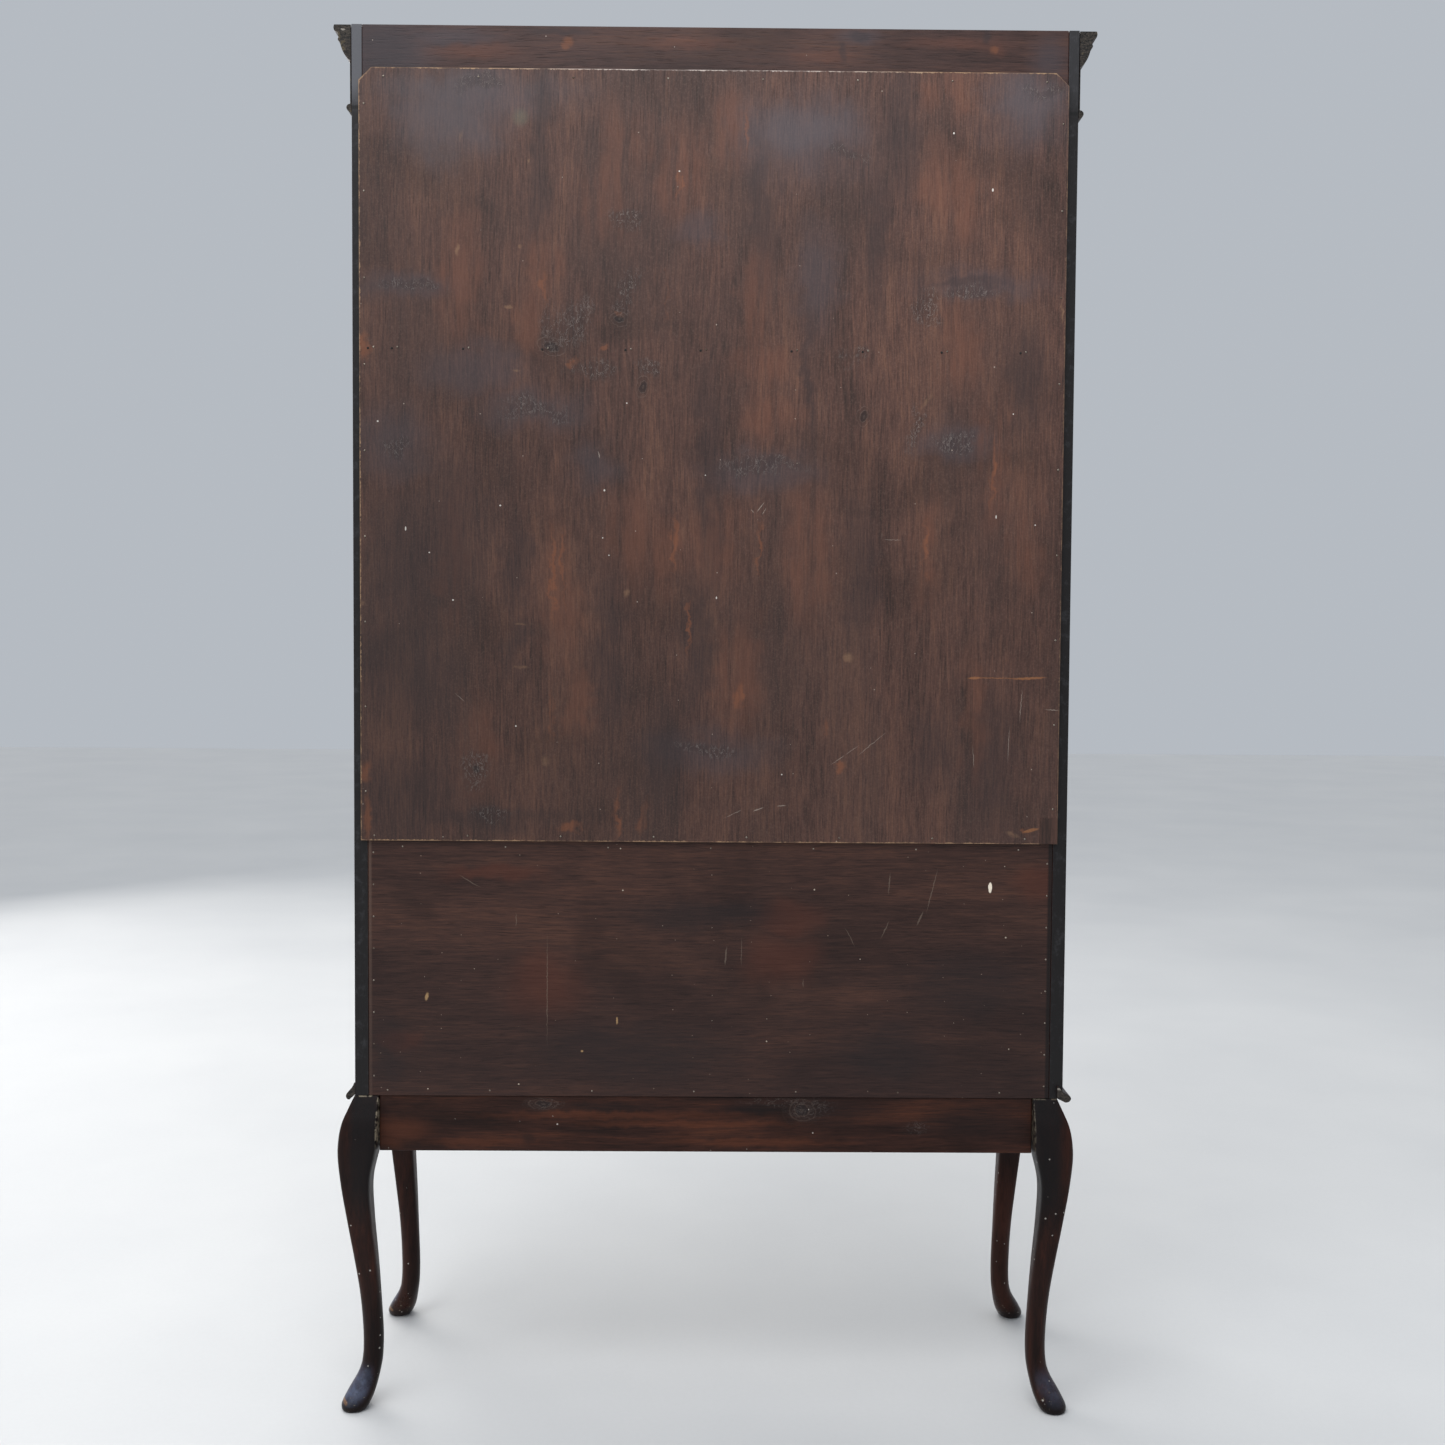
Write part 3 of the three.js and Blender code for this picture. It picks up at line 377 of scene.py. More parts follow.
def stain_and_light_fade(shader):
    """What the upper panel's colour is multiplied by: paler towards the top and towards -X. This is partly
    its stain and partly painted light, brighter at the top as if lit from above.
    """
    x, _, z = shader.split(shader.position)
    across = shader.ramp(x, -0.35, 0.45, 1.14, 0.86)
    share = shader.times(across, shader.ramp(z, 0.74, 1.6, 0.82, 1.04))
    return shader.join(share, share, share)


def rim(shader, low, high, clip):
    """Distance in from a back panel's outline, which has clipped upper corners."""
    x, _, z = shader.split(shader.position)
    middle = (low.x + high.x) / 2
    side = shader.apart(x, middle)
    side = shader.math("SUBTRACT", high.x - middle, side)
    top = shader.math("SUBTRACT", high.z, z)
    diagonal = math.sqrt(0.5)
    corner = shader.math("MULTIPLY_ADD", shader.math("ADD", side, top), diagonal, -clip * diagonal)
    nearest = shader.math("MINIMUM", shader.math("MINIMUM", side, top), corner)
    return shader.math("MINIMUM", nearest, shader.math("SUBTRACT", z, low.z))


def crinkles(shader, mask, colour, height, squash=(1, 1, 0.34)):
    """Varnish that has dried in fine wavy ridges, bumped and darkened, with a painted highlight along each
    ridge.
    """
    bent = wobbled(shader, 0.014, 60.0)
    wave = shader.noise(shader.vector("MULTIPLY", bent, squash), 210.0, 2.0, 0.55, 0.7)
    ridge = shader.ramp(shader.apart(wave, 0.5), 0.035, 0.0)
    glinting_ridges = shader.times(ridge, mask)
    colour = shader.mix(shader.times(mask, 0.35), colour, shade(48, 39, 38))
    # Painted highlight: pale lines along the ridges, as if they catch the light.
    colour = shader.mix(shader.times(glinting_ridges, 0.28), colour, shade(160, 148, 140))
    return colour, shader.math("MULTIPLY_ADD", glinting_ridges, 3.0, height)


def knots(shader, places, colour, height):
    """Small dark knots with raised rings round them."""
    away = spread(shader, places, wobbled(shader, 0.008, 90.0))
    ring = shader.math("SINE", shader.times(away, 9.0))
    ring = shader.times(shader.ramp(ring, 0.5, 1.0), shader.ramp(away, 2.6, 1.2))
    colour = shader.mix(shader.ramp(away, 2.4, 0.6, 0.0, 0.4), colour, shade(58, 42, 37))
    colour = shader.mix(shader.ramp(away, 1.15, 0.5, 0.0, 0.65), colour, shade(32, 26, 26))
    colour = shader.mix(shader.times(ring, 0.12), colour, shade(140, 118, 104))
    return colour, shader.math("MULTIPLY_ADD", ring, 1.6, height)


def upper_back_finish(shader, colour, height, rough):
    """Grey haze mixed with painted sky reflection, a painted blue-grey sky sheen along the top, rusty flares,
    dark drips, crinkled varnish with painted highlights on its ridges, knots, scratches and a bare chipped
    edge, all under a fade that is partly painted light.
    """
    soft = wobbled(shader, 0.07, 20.0)
    fine = wobbled(shader, 0.003, 220.0)
    drawn = shader.noise(shader.vector("MULTIPLY", shader.position, (1, 1, 0.1)), 60.0, 4.0, 0.65)
    feather = shader.ramp(drawn, 0.3, 0.6)
    cool = shader.noise(shader.vector("MULTIPLY", shader.position, (1, 1, 0.35)), 6.0, 4.0, 0.6, 0.5)
    colour = shader.mix(shader.ramp(cool, 0.42, 0.64, 0.0, 0.4), colour, shade(67, 52, 48))
    grainy = shader.noise(shader.position, 430.0, 3.0, 0.75)
    colour = shader.mix(shader.ramp(grainy, 0.5, 0.68, 0.0, 0.2), colour, shade(122, 98, 86))
    colour = shader.mix(shader.ramp(grainy, 0.5, 0.32, 0.0, 0.22), colour, shade(44, 33, 31))
    # Grey haze mixed with painted sky reflection, then a painted blue-grey sky sheen along the top.
    colour = stained(
        shader, colour, soft, (UPPER_GREY_AND_SKY_SHEEN, 0.42, 1.4, (74, 67, 71)), (UPPER_SKY_SHEEN, 0.34, 1.5, (92, 88, 93)),
    )
    colour = stained(shader, colour, soft, (UPPER_ORANGE, 0.46, 1.5, (114, 72, 55)), feather=feather)
    colour = stained(shader, colour, soft, (UPPER_DARK, 0.46, 1.5, (52, 42, 42)))
    colour = stained(shader, colour, wobbled(shader, 0.008, 60.0), (UPPER_GREEN, 0.25, 1.5, (112, 122, 104)))
    fibrous = wobbled(shader, 0.03, 55.0)
    colour = stained(shader, colour, fibrous, (UPPER_RUST, 0.52, 1.3, (138, 84, 56)), feather=feather)
    ragged = wobbled(shader, 0.008, 120.0)
    colour = stained(shader, colour, ragged, (UPPER_TAN, 0.45, 1.3, (150, 116, 88)), feather=feather)
    colour, height = knots(shader, UPPER_KNOTS, colour, height)
    colour, height = crinkles(shader, marks(shader, UPPER_CRINKLE, soft, 1.0, 1.0), colour, height)
    colour = stained(shader, colour, fine, (UPPER_SCUFF, 0.42, 0.6, (178, 118, 72)))
    scratch = shader.times(marks(shader, UPPER_SCRATCH, fine, 0.5), shader.ramp(drawn, 0.35, 0.5))
    colour = shader.mix(scratch, colour, shade(180, 166, 152))
    height = shader.math("MULTIPLY_ADD", scratch, -1.5, height)
    colour = stained(shader, colour, shader.position, (UPPER_DOTS, 0.9, 0.3, (216, 208, 198)))
    colour = specks(shader, colour, 20.0, 0.7 * MM, shade(170, 154, 140), 0.22)
    # Multiplies in the fade, which is partly stain and partly painted light, paler towards the top and
    # towards -X.
    colour = shader.mix(1.0, colour, stain_and_light_fade(shader), "MULTIPLY")
    return bare_rim(shader, colour), height, rough


def bare_rim(shader, colour):
    """The raw, chipped outline of the upper panel, plainest along its top and faintest down its left side."""
    torn = shader.noise(shader.position, 240.0, 3.0, 0.7)
    inward = shader.math("MULTIPLY_ADD", torn, 5 * MM, rim(shader, UPPER_LOW, UPPER_HIGH, CLIPPED_CORNER))
    chipped = shader.ramp(shader.noise(shader.position, 34.0, 3.0, 0.7), 0.42, 0.56, 0.2, 0.85)
    x, _, z = shader.split(shader.position)
    top = shader.ramp(z, 1.705, 1.712)
    most = shader.math("MAXIMUM", shader.ramp(x, -0.44, -0.4, 0.25, 0.7), top)
    chipped = shader.times(chipped, most)
    bare = shader.times(shader.ramp(inward, 4.0 * MM, 3.0 * MM), chipped)
    paler = shader.times(top, shader.ramp(shader.math("ABSOLUTE", x), 0.3, 0.1))
    return shader.mix(bare, colour, shader.mix(paler, PALE_PLY, shade(206, 190, 180)))


# ------------------------------------------------------------------ the other back boards' marks
LOWER_RED = (
    (280, 700, 60, 10), (-100, 645, 40, 20), (215, 555, 45, 35), (405, 480, 25, 15), (-90, 590, 45, 30),
    (-420, 690, 30, 20),
)
LOWER_DARK = (
    (-230, 470, 60, 35), (100, 470, 120, 35), (-330, 560, 80, 40), (415, 470, 25, 40), (0, 650, 90, 18),
)
LOWER_PALE = ((365, 540, 2, 5, 10), (120, 510, 1, 4.5), (165, 470, 1.5, 1.5))
LOWER_SCRATCH = (
    (-230, 690, 0.7, 12, 4), (-20, 595, 0.9, 11, 5), (-225, 630, 0.6, 11, 24), (-270, 645, 1, 9, 24),
    (-285, 680, 0.6, 25, 14), (210, 550, 0.5, 60), (-40, 600, 0.4, 16), (-120, 560, 0.5, 5),
    (-180, 620, 0.4, 12, -28), (310, 690, 14, 0.5, 30), (250, 640, 0.5, 8),
)
LOWER_PAINT = ((-360, 685, 2.5, 6.5, 3),)


def lower_back_finish(shader, colour, height, rough):
    """Darker towards the floor, partly the board's own tone and partly painted shade, with a painted
    highlight on the bevelled +X edge and a painted black shadow down the -X edge.
    """
    soft = wobbled(shader, 0.05, 18.0)
    fine = wobbled(shader, 0.003, 220.0)
    x, _, z = shader.split(shader.position)
    # Darker towards the floor: partly the board's own tone and partly painted shade.
    level = shader.ramp(z, 0.68, 0.42, 0.0, 0.35)
    colour = shader.mix(level, colour, shade(36, 26, 26))
    colour = stained(
        shader, colour, soft, (LOWER_RED, 0.35, 1.2, (92, 48, 34)), (LOWER_DARK, 0.5, 1.2, (34, 29, 30)),
    )
    colour = stained(
        shader, colour, fine, (LOWER_PALE, 0.7, 0.8, (176, 142, 100)),
        (LOWER_SCRATCH, 0.26, 0.8, (150, 134, 118)), (LOWER_PAINT, 1.0, 0.3, (240, 226, 206)),
    )
    colour = specks(shader, colour, 16.0, 0.9 * MM, shade(190, 174, 156), 0.2)
    colour = specks(shader, colour, 40.0, 0.55 * MM, shade(140, 120, 106), 0.2)
    # Painted highlight where the bevelled +X edge catches the light.
    bevel = shader.times(shader.ramp(x, 434.5 * MM, 437 * MM), shader.ramp(z, 0.3, 0.8, 0.2, 0.6))
    colour = shader.mix(bevel, colour, shade(96, 76, 66))
    # Painted shadow down the -X edge.
    black = shader.ramp(x, -433 * MM, -436 * MM, 0.0, 0.8)
    return shader.mix(black, colour, shade(20, 17, 17)), height, rough


RAIL_SPOTS = ((185, 1750, 6, 5, 20), (189, 1745, 5, 4), (-350, 1745, 5, 4.5))
RAIL_RUST = (
    (300, 1738, 50, 8), (-355, 1745, 9, 8), (-130, 1735, 40, 8), (40, 1750, 60, 7), (-300, 1752, 60, 7),
)
RAIL_DARK = (
    (-160, 1740, 4, 12, -12), (-180, 1760, 12, 6), (-340, 1762, 4, 8), (420, 1740, 40, 30),
    (200, 1762, 40, 4),
)
RAIL_GREY = (
    (410, 1735, 50, 40), (340, 1755, 60, 10), (-180, 1760, 25, 9), (-190, 1762, 10, 4),
    (-420, 1730, 20, 30),
)


def rail_finish(shader, colour, height, rough):
    soft = wobbled(shader, 0.016, 50.0)
    colour = stained(
        shader, colour, soft, (RAIL_GREY, 0.45, 1.5, (70, 66, 72)), (RAIL_RUST, 0.16, 1.5, (130, 76, 54)),
    )
    colour = stained(shader, colour, wobbled(shader, 0.01, 70.0), (RAIL_SPOTS, 0.4, 1.1, (132, 80, 50)))
    colour = stained(shader, colour, soft, (RAIL_DARK, 0.45, 1.2, (42, 37, 40)))
    return specks(shader, colour, 18.0, 0.8 * MM, shade(176, 160, 148), 0.25), height, rough


APRON_RUST = (
    (400, 365, 35, 15), (120, 385, 150, 5), (30, 375, 130, 4), (300, 350, 60, 5), (-60, 350, 90, 5),
    (415, 350, 20, 8),
)
APRON_DARK = (
    (235, 355, 8, 7), (-60, 396, 40, 6), (-340, 380, 60, 20), (160, 396, 80, 6), (-160, 390, 60, 16),
)
APRON_CRINKLE = ((215, 400, 20, 7), (-130, 395, 26, 12), (-270, 370, 14, 8), (-100, 404, 50, 5))
APRON_KNOTS = ((-120, 393, 11, 9), (215, 400, 12, 4))


def apron_finish(shader, colour, height, rough):
    soft = wobbled(shader, 0.014, 50.0)
    colour = stained(
        shader, colour, soft, (APRON_RUST, 0.3, 1.4, (104, 56, 34)), (APRON_DARK, 0.5, 1.2, (26, 20, 20)),
    )
    colour, height = knots(shader, APRON_KNOTS, colour, height)
    mask = marks(shader, APRON_CRINKLE, soft, 0.5, 1.2)
    colour, height = crinkles(shader, mask, colour, height, (0.5, 1, 1))
    return specks(shader, colour, 24.0, 0.9 * MM, shade(190, 180, 170), 0.3), height, rough


NECK_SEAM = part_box("neck_moulding")[0].z + 6 * MM


def side_finish(shader, colour, height, rough):
    """The bare back edge is painted black. Above the dark seam beside the neck moulding the right side's is
    slate grey."""
    facing = shader.split(shader.node("NewGeometry").outputs["Normal"])[1]
    edge = shader.math("GREATER_THAN", facing, 0.7)
    x, _, level = shader.split(shader.position)
    # Slate grey towards the top of the back edges, most on the +X side.
    slate_top = shader.times(shader.ramp(level, 1.655, 1.7), shader.ramp(x, -0.2, 0.2, 0.2, 1.0))
    scuffed = shader.ramp(shader.noise(shader.position, 70.0, 4.0, 0.7), 0.5, 0.7, 0.0, 0.2)
    tone = shader.mix(shader.math("ADD", slate_top, scuffed), shade(20, 17, 17), shade(84, 84, 88))
    seam = shader.apart(level, NECK_SEAM)
    tone = shader.mix(shader.ramp(seam, 3.2 * MM, 1.6 * MM, 0.0, 0.95), tone, shade(6, 5, 5))
    rough = shader.math("MAXIMUM", rough, shader.times(edge, 0.55))
    return shader.mix(edge, colour, tone), height, rough


FOOT_SCUFF = ((470, 12, 4, 2.5, 15),)
LEG_ARRIS = 30.6 * MM  # how far in from the leg's outer face the inner arris of its top lies


def leg_finish(shader, colour, height, rough):
    """Nearly black in the middle of each broad face, browner to the sides and downward, the brown partly a
    painted reflection of a red floor, with a painted blue sky highlight on the tops of the feet, scuffed rims
    with painted shade along their lowest edge, and pale chips along the arrises at the top that are partly
    painted highlight, stronger on the lit +X side."""
    x, _, level = shader.split(shader.position)
    up = shader.split(shader.node("NewGeometry").outputs["Normal"])[2]
    across = shader.apart(x, LEG_FRAME_MIDDLE)
    inward = shader.math("SUBTRACT", LEG_FRAME_HALF, across)
    # Near-black upper leg; the browner leg below it is partly painted reflection of a red floor.
    block = shader.times(shader.ramp(level, 0.22, 0.3), shader.ramp(inward, -0.009, 0.004))
    colour = shader.mix(shader.times(block, 0.8), colour, shade(18, 17, 18))
    low = shader.ramp(level, 0.075, 0.035)
    # Painted highlight: a blue sky sheen on the upward faces of the feet, stronger towards the lit +X side.
    dull = shader.ramp(shader.noise(shader.position, 45.0, 4.0, 0.7), 0.35, 0.65, 0.3, 0.75)
    sky_glint = shader.times(shader.times(shader.ramp(up, 0.05, 0.7), low), dull)
    sky_glint = shader.times(sky_glint, shader.ramp(x, -0.2, 0.2, 0.5, 1.35))
    colour = shader.mix(sky_glint, colour, shade(84, 92, 112))
    scuff = marks(shader, FOOT_SCUFF, wobbled(shader, 0.004, 150.0), 0.6, 0.8)
    colour = shader.mix(scuff, colour, shade(196, 146, 104))
    # Painted shade along the lowest rim of each foot, where it rounds under.
    colour = shader.mix(shader.ramp(level, 0.022, 0.008, 0.0, 0.7), colour, shade(20, 17, 17))
    chips = shader.noise(shader.position, 130.0, 3.0, 0.65)
    rubbed = shader.ramp(chips, 0.64, 0.7, 0.0, 0.6)
    rubbed = shader.times(shader.ramp(level, 0.032, 0.016), rubbed)
    arris = shader.apart(inward, LEG_ARRIS)
    arris = shader.ramp(arris, 1.3 * MM, 0.6 * MM)
    arris = shader.times(arris, shader.ramp(level, 0.335, 0.35))
    top = shader.ramp(level, BASE_TOP - 2.2 * MM, BASE_TOP - 1.2 * MM)
    edges = shader.ramp(chips, 0.46, 0.56, 0.0, 0.7)
    edges = shader.times(shader.math("MAXIMUM", arris, top), edges)
    # Pale chips on the arrises and top edge are partly wear and partly painted highlight, stronger towards
    # the lit +X side.
    side = shader.ramp(x, -0.1, 0.1, 0.35, 1.0)
    worn = shader.math("MAXIMUM", rubbed, shader.times(edges, side))
    colour = shader.mix(worn, colour, shade(150, 138, 118))
    rough = shader.math("SUBTRACT", rough, shader.times(low, 0.12))
    colour = specks(shader, colour, 90.0, 1.1 * MM, shade(176, 170, 162), 0.5, flat=False)
    return colour, height, rough


END_CHIPS = ((-452, 425, 4.5, 1.2, 8), (-456, 1760, 2, 2.4), (468, 1763, 3, 1.2))


def end_grain(name):
    """Rough, dirty sawn ends, with a rubbed patch here and there."""
    shader = Shader(name)
    coarse = shader.noise(shader.position, 420.0, 4.0, 0.7)
    patch = shader.noise(shader.position, 75.0, 2.0, 0.5)
    grain = shader.vector("MULTIPLY", wobbled(shader, 0.01, 60.0), (0.25, 1, 1))
    grain = shader.noise(grain, 520.0, 3.0, 0.7)
    coarse = shader.math("MULTIPLY_ADD", shader.math("SUBTRACT", grain, 0.5), 1.2, coarse)
    colour = shader.mix(shader.ramp(coarse, 0.3, 0.8), shade(20, 18, 17), shade(74, 67, 60))
    colour = shader.mix(shader.ramp(patch, 0.6, 0.68, 0.0, 0.45), colour, shade(104, 92, 68))
    chip = marks(shader, END_CHIPS, wobbled(shader, 0.003, 200.0), 0.75, 0.7)
    colour = shader.mix(chip, colour, shade(158, 150, 140))
    shader.set(Base_Color=colour, Roughness=shader.ramp(coarse, 0.2, 0.8, 0.6, 0.9))
    shader.set(Normal=shader.bump(coarse, 1.2 * MM, 1.0), Specular_IOR_Level=0.3)
    return shader.material


PLY_PITCH = 2.8 * MM


def raw_edge(name):
    """The bare edge of thin plywood: pale layers, dirty and chipped in places."""
    shader = Shader(name)
    depth = shader.split(shader.position)[1]
    layers = shader.math("SINE", shader.times(depth, TURN / PLY_PITCH))
    colour = shader.mix(shader.ramp(layers, -0.3, 0.3), shade(116, 88, 62), shade(182, 152, 116))
    dirt = shader.noise(shader.position, 60.0, 4.0, 0.7)
    colour = shader.mix(shader.ramp(dirt, 0.42, 0.6, 0.0, 0.75), colour, shade(74, 54, 42))
    shader.set(Base_Color=colour, Roughness=shader.ramp(dirt, 0.0, 1.0, 0.65, 0.85))
    shader.set(Normal=shader.bump(dirt, 0.4 * MM))
    return shader.material


# ------------------------------------------------------------------ metal, glass and floor
def metal(name, clean, tarnished, rough):
    shader = Shader(name)
    age = shader.noise(shader.position, 90.0, 4.0, 0.65, 0.4)
    fine = shader.noise(shader.position, 700.0, 2.0, 0.6)
    old = shader.ramp(age, 0.42, 0.66)
    shader.set(Base_Color=shader.mix(old, clean, tarnished), Metallic=1.0)
    uneven = shader.math("MULTIPLY_ADD", fine, 0.14, rough)
    shader.set(Roughness=shader.math("MULTIPLY_ADD", old, 0.16, uneven))
    shader.set(Normal=shader.bump(fine, 0.06 * MM, 0.4))
    return shader.material


def glass(name):
    """Thin old window glass: clear, faintly green, barely wavy, with smears that blur its shine."""
    shader = Shader(name)
    smear = shader.noise(shader.position, 9.0, 4.0, 0.65, 1.2)
    wave = shader.bump(shader.noise(shader.position, 3.0, 1.0), 1.2 * MM, 0.5)
    shine = shader.node("BsdfGlossy")
    shader.feed(shine.inputs["Color"], shade(250, 252, 250))
    shader.feed(shine.inputs["Roughness"], shader.ramp(smear, 0.35, 0.75, 0.03, 0.2))
    shader.feed(shine.inputs["Normal"], wave)
    clear = shader.node("BsdfTransparent")
    shader.feed(clear.inputs["Color"], shade(250, 253, 251))
    slant = shader.node("LayerWeight")
    shader.feed(slant.inputs["Blend"], 0.5)
    shader.feed(slant.inputs["Normal"], wave)
    grazing = shader.math("POWER", slant.outputs["Facing"], 5.0)
    share = shader.node("MixShader")
    shader.feed(share.inputs[0], shader.math("MULTIPLY_ADD", grazing, 0.9, 0.02))
    shader.feed(share.inputs[1], clear.outputs[0])
    shader.feed(share.inputs[2], shine.outputs[0])
    shader.feed(shader.tree.nodes["Material Output"].inputs["Surface"], share.outputs[0])
    shader.tree.nodes.remove(shader.surface)
    return shader.material


def floor_material():
    shader = Shader("pale_floor")
    cloud = shader.noise(shader.position, 1.6, 4.0, 0.6)
    grit = shader.noise(shader.position, 140.0, 2.0, 0.6)
    colour = shader.mix(cloud, shade(196, 197, 198), shade(214, 214, 213))
    shader.set(Base_Color=shader.mix(shader.times(grit, 0.08), colour, shade(150, 150, 150)))
    shader.set(Roughness=shader.ramp(cloud, 0.0, 1.0, 0.55, 0.7))
    return shader.material


# ------------------------------------------------------------------ mesh helpers
def linked(name, data):
    """A new object that holds data, put in the scene."""
    made = bpy.data.objects.new(name, data)
    bpy.context.scene.collection.objects.link(made)
    return made


def piece(name, mesh, body, materials, smooth=False):
    """One piece of the visual model, which rides on a body."""
    made = linked(name, mesh)
    for material in materials:
        mesh.materials.append(material)
    for polygon in mesh.polygons:
        polygon.use_smooth = smooth
    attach(made, body)
    return made


def emptied(made, mesh):
    """The mesh, once a bmesh has been written into it."""
    made.to_mesh(mesh)
    made.free()
    return mesh


def mesh_from(name, vertices, faces, slots=()):
    """A mesh with every face looking outward. slots gives the faces' material indices."""
    mesh = bpy.data.meshes.new(name)
    mesh.from_pydata([tuple(v) for v in vertices], [], faces)
    for polygon, index in zip(mesh.polygons, slots):
        polygon.material_index = index
    made = bmesh.new()
    made.from_mesh(mesh)
    bmesh.ops.recalc_face_normals(made, faces=made.faces)
    return emptied(made, mesh)


def crisp(obj, degrees):
    """Keeps the edges sharp that turn by more than this."""
    split = obj.modifiers.new("crisp", "EDGE_SPLIT")
    split.split_angle = math.radians(degrees)


def soften(obj, width):
    """Rounds the arrises of a board, which has its corners welded first."""
    weld = obj.modifiers.new("weld", "WELD")
    weld.merge_threshold = 0.01 * MM
    flat = obj.modifiers.new("flat", "DECIMATE")
    flat.decimate_type = "DISSOLVE"
    flat.angle_limit = math.radians(1)
    bevel = obj.modifiers.new("bevel", "BEVEL")
    bevel.width = width
    bevel.segments = 2
    bevel.limit_method = "ANGLE"
    bevel.angle_limit = math.radians(35)
    bevel.harden_normals = False


def dress(material, *nodes, arris=0.8 * MM):
    """Gives CAD nodes a material and, unless arris is 0, soft arrises."""
    for name in nodes:
        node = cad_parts[name]
        for index in range(len(node.material_slots)):
            node.material_slots[index].material = material
        if arris:
            soften(node, arris)


BENT_STEPS = 6


def bent(start, control, end):
    """Points along a quadratic curve, without its start."""
    points = []
    for step in range(1, BENT_STEPS + 1):
        t = step / BENT_STEPS
        near, pull, far = (1 - t) ** 2, 2 * t * (1 - t), t * t
        points.append(tuple(near * a + pull * c + far * b for a, c, b in zip(start, control, end)))
    return points


def outline(start, *runs):
    """A list of points from straight runs, (point,), and curved ones, (control, point)."""
    points = [start]
    for run in runs:
        if len(run) == 1:
            points.append(run[0])
        else:
            points.extend(bent(points[-1], *run))
    return points


def in_metres(points):
    return [tuple(value * MM for value in point) for point in points]


def spaced(start, end, steps):
    """Evenly spaced values from start to end, both included."""
    return [start + (end - start) * step / steps for step in range(steps + 1)]


def tube(rings, closed=False):
    """Vertices and faces of a skin over rings of points. It is capped at its ends, or joined up if closed."""
    count = len(rings[0])
    vertices = [point for ring in rings for point in ring]
    faces = []
    for index in range(len(rings) if closed else len(rings) - 1):
        a, b = index * count, (index + 1) % len(rings) * count
        for i in range(count):
            j = (i + 1) % count
            faces.append((a + i, a + j, b + j, b + i))
    if not closed:
        faces += [tuple(range(count)), tuple(range(len(vertices) - count, len(vertices)))]
    return vertices, faces


def lathe(profile, centre, direction, turns):
    """Vertices and faces of a turned shape. profile is (radius, distance along the axis)."""
    axis = Vector(direction).normalized()
    across = axis.orthogonal().normalized()
    other = axis.cross(across)
    spokes = [across * math.cos(a) + other * math.sin(a) for a in spaced(0, TURN, turns)[:-1]]
    middles = [(Vector(centre) + axis * along, radius) for radius, along in profile]
    return tube([[middle + out * radius for out in spokes] for middle, radius in middles])


def gather(shapes):
    """Joins several (vertices, faces) into one."""
    vertices, faces = [], []
    for some, joined in shapes:
        start = len(vertices)
        vertices.extend(some)
        faces.extend(tuple(start + i for i in face) for face in joined)
    return vertices, faces


def sweep(section, path, side):
    """A section, (across, up) in each point's own directions, drawn along a path of points.
    side is the direction that across is measured against, fixed for the whole path."""
    side = Vector(side).normalized()
    rings = []
    for index, point in enumerate(path):
        before = path[max(index - 1, 0)]
        after = path[min(index + 1, len(path) - 1)]
        across = (Vector(after) - Vector(before)).normalized().cross(side).normalized()
        rings.append([Vector(point) + across * u + side * v for u, v in section])
    return tube(rings)


# ------------------------------------------------------------------ legs
# Height, outer face and inner face in mm, both measured outward from the faces of its square top.
CABRIOLE = (
    (BASE_TOP / MM - 0.3, 0, -31.3), (395, 7, -31.3), (374, 15, -31.3), (343, 19.4, -30), (300, 16, -21.5),
    (250, 9.5, -22.5), (190, 1.5, -27), (145, -3.5, -30), (95, -6.5, -32.5), (62, -6, -32), (43, -1.5, -29.5),
    (22, 10.5, -25), (9, 17, -20), (2.5, 17, -16), (0, 14.5, -12),
)
LEG_TURNS = 56
LEG_STEPS = 6


def catmull(points, steps):
    """A smooth curve through points, with the given number of steps between each two."""
    rows = [points[0], *points, points[-1]]
    curve = []
    for index in range(1, len(rows) - 2):
        p0, p1, p2, p3 = (Vector(row) for row in rows[index - 1 : index + 3])
        for step in range(steps):
            t = step / steps
            blend = p1 * 2 + (p2 - p0) * t + (p0 * 2 - p1 * 5 + p2 * 4 - p3) * t * t
            curve.append((blend + (p1 * 3 - p0 - p2 * 3 + p3) * t * t * t) / 2)
    return [*curve, Vector(points[-1])]


def smoothstep(low, high, value):
    t = min(max((value - low) / (high - low), 0.0), 1.0)
    return t * t * (3 - 2 * t)


def leg_mesh(name, side_sign, end_sign):
    """A leg that is nearly round at its ankle, squarer at its knee and square at its top."""
    end_face = FRONT if end_sign < 0 else BACK
    rings = []
    for z, outer, inner in catmull(CABRIOLE, LEG_STEPS):
        squareness = 2.1 + 4.4 * smoothstep(110, 300, z) + 20 * smoothstep(350, 404, z)
        reach, middle = (outer - inner) / 2, (outer + inner) / 2
        ring = []
        for turn in range(LEG_TURNS):
            angle = TURN * (turn + 0.5) / LEG_TURNS
            way = (math.cos(angle), math.sin(angle))
            u, v = (math.copysign(abs(c) ** (2 / squareness), c) * reach for c in way)
            x = LEG_FACE[side_sign] + side_sign * middle * MM + u * MM
            y = end_face + end_sign * middle * MM + v * MM
            ring.append((x, y, z * MM))
        rings.append(ring)
    return mesh_from(name, *tube(rings))


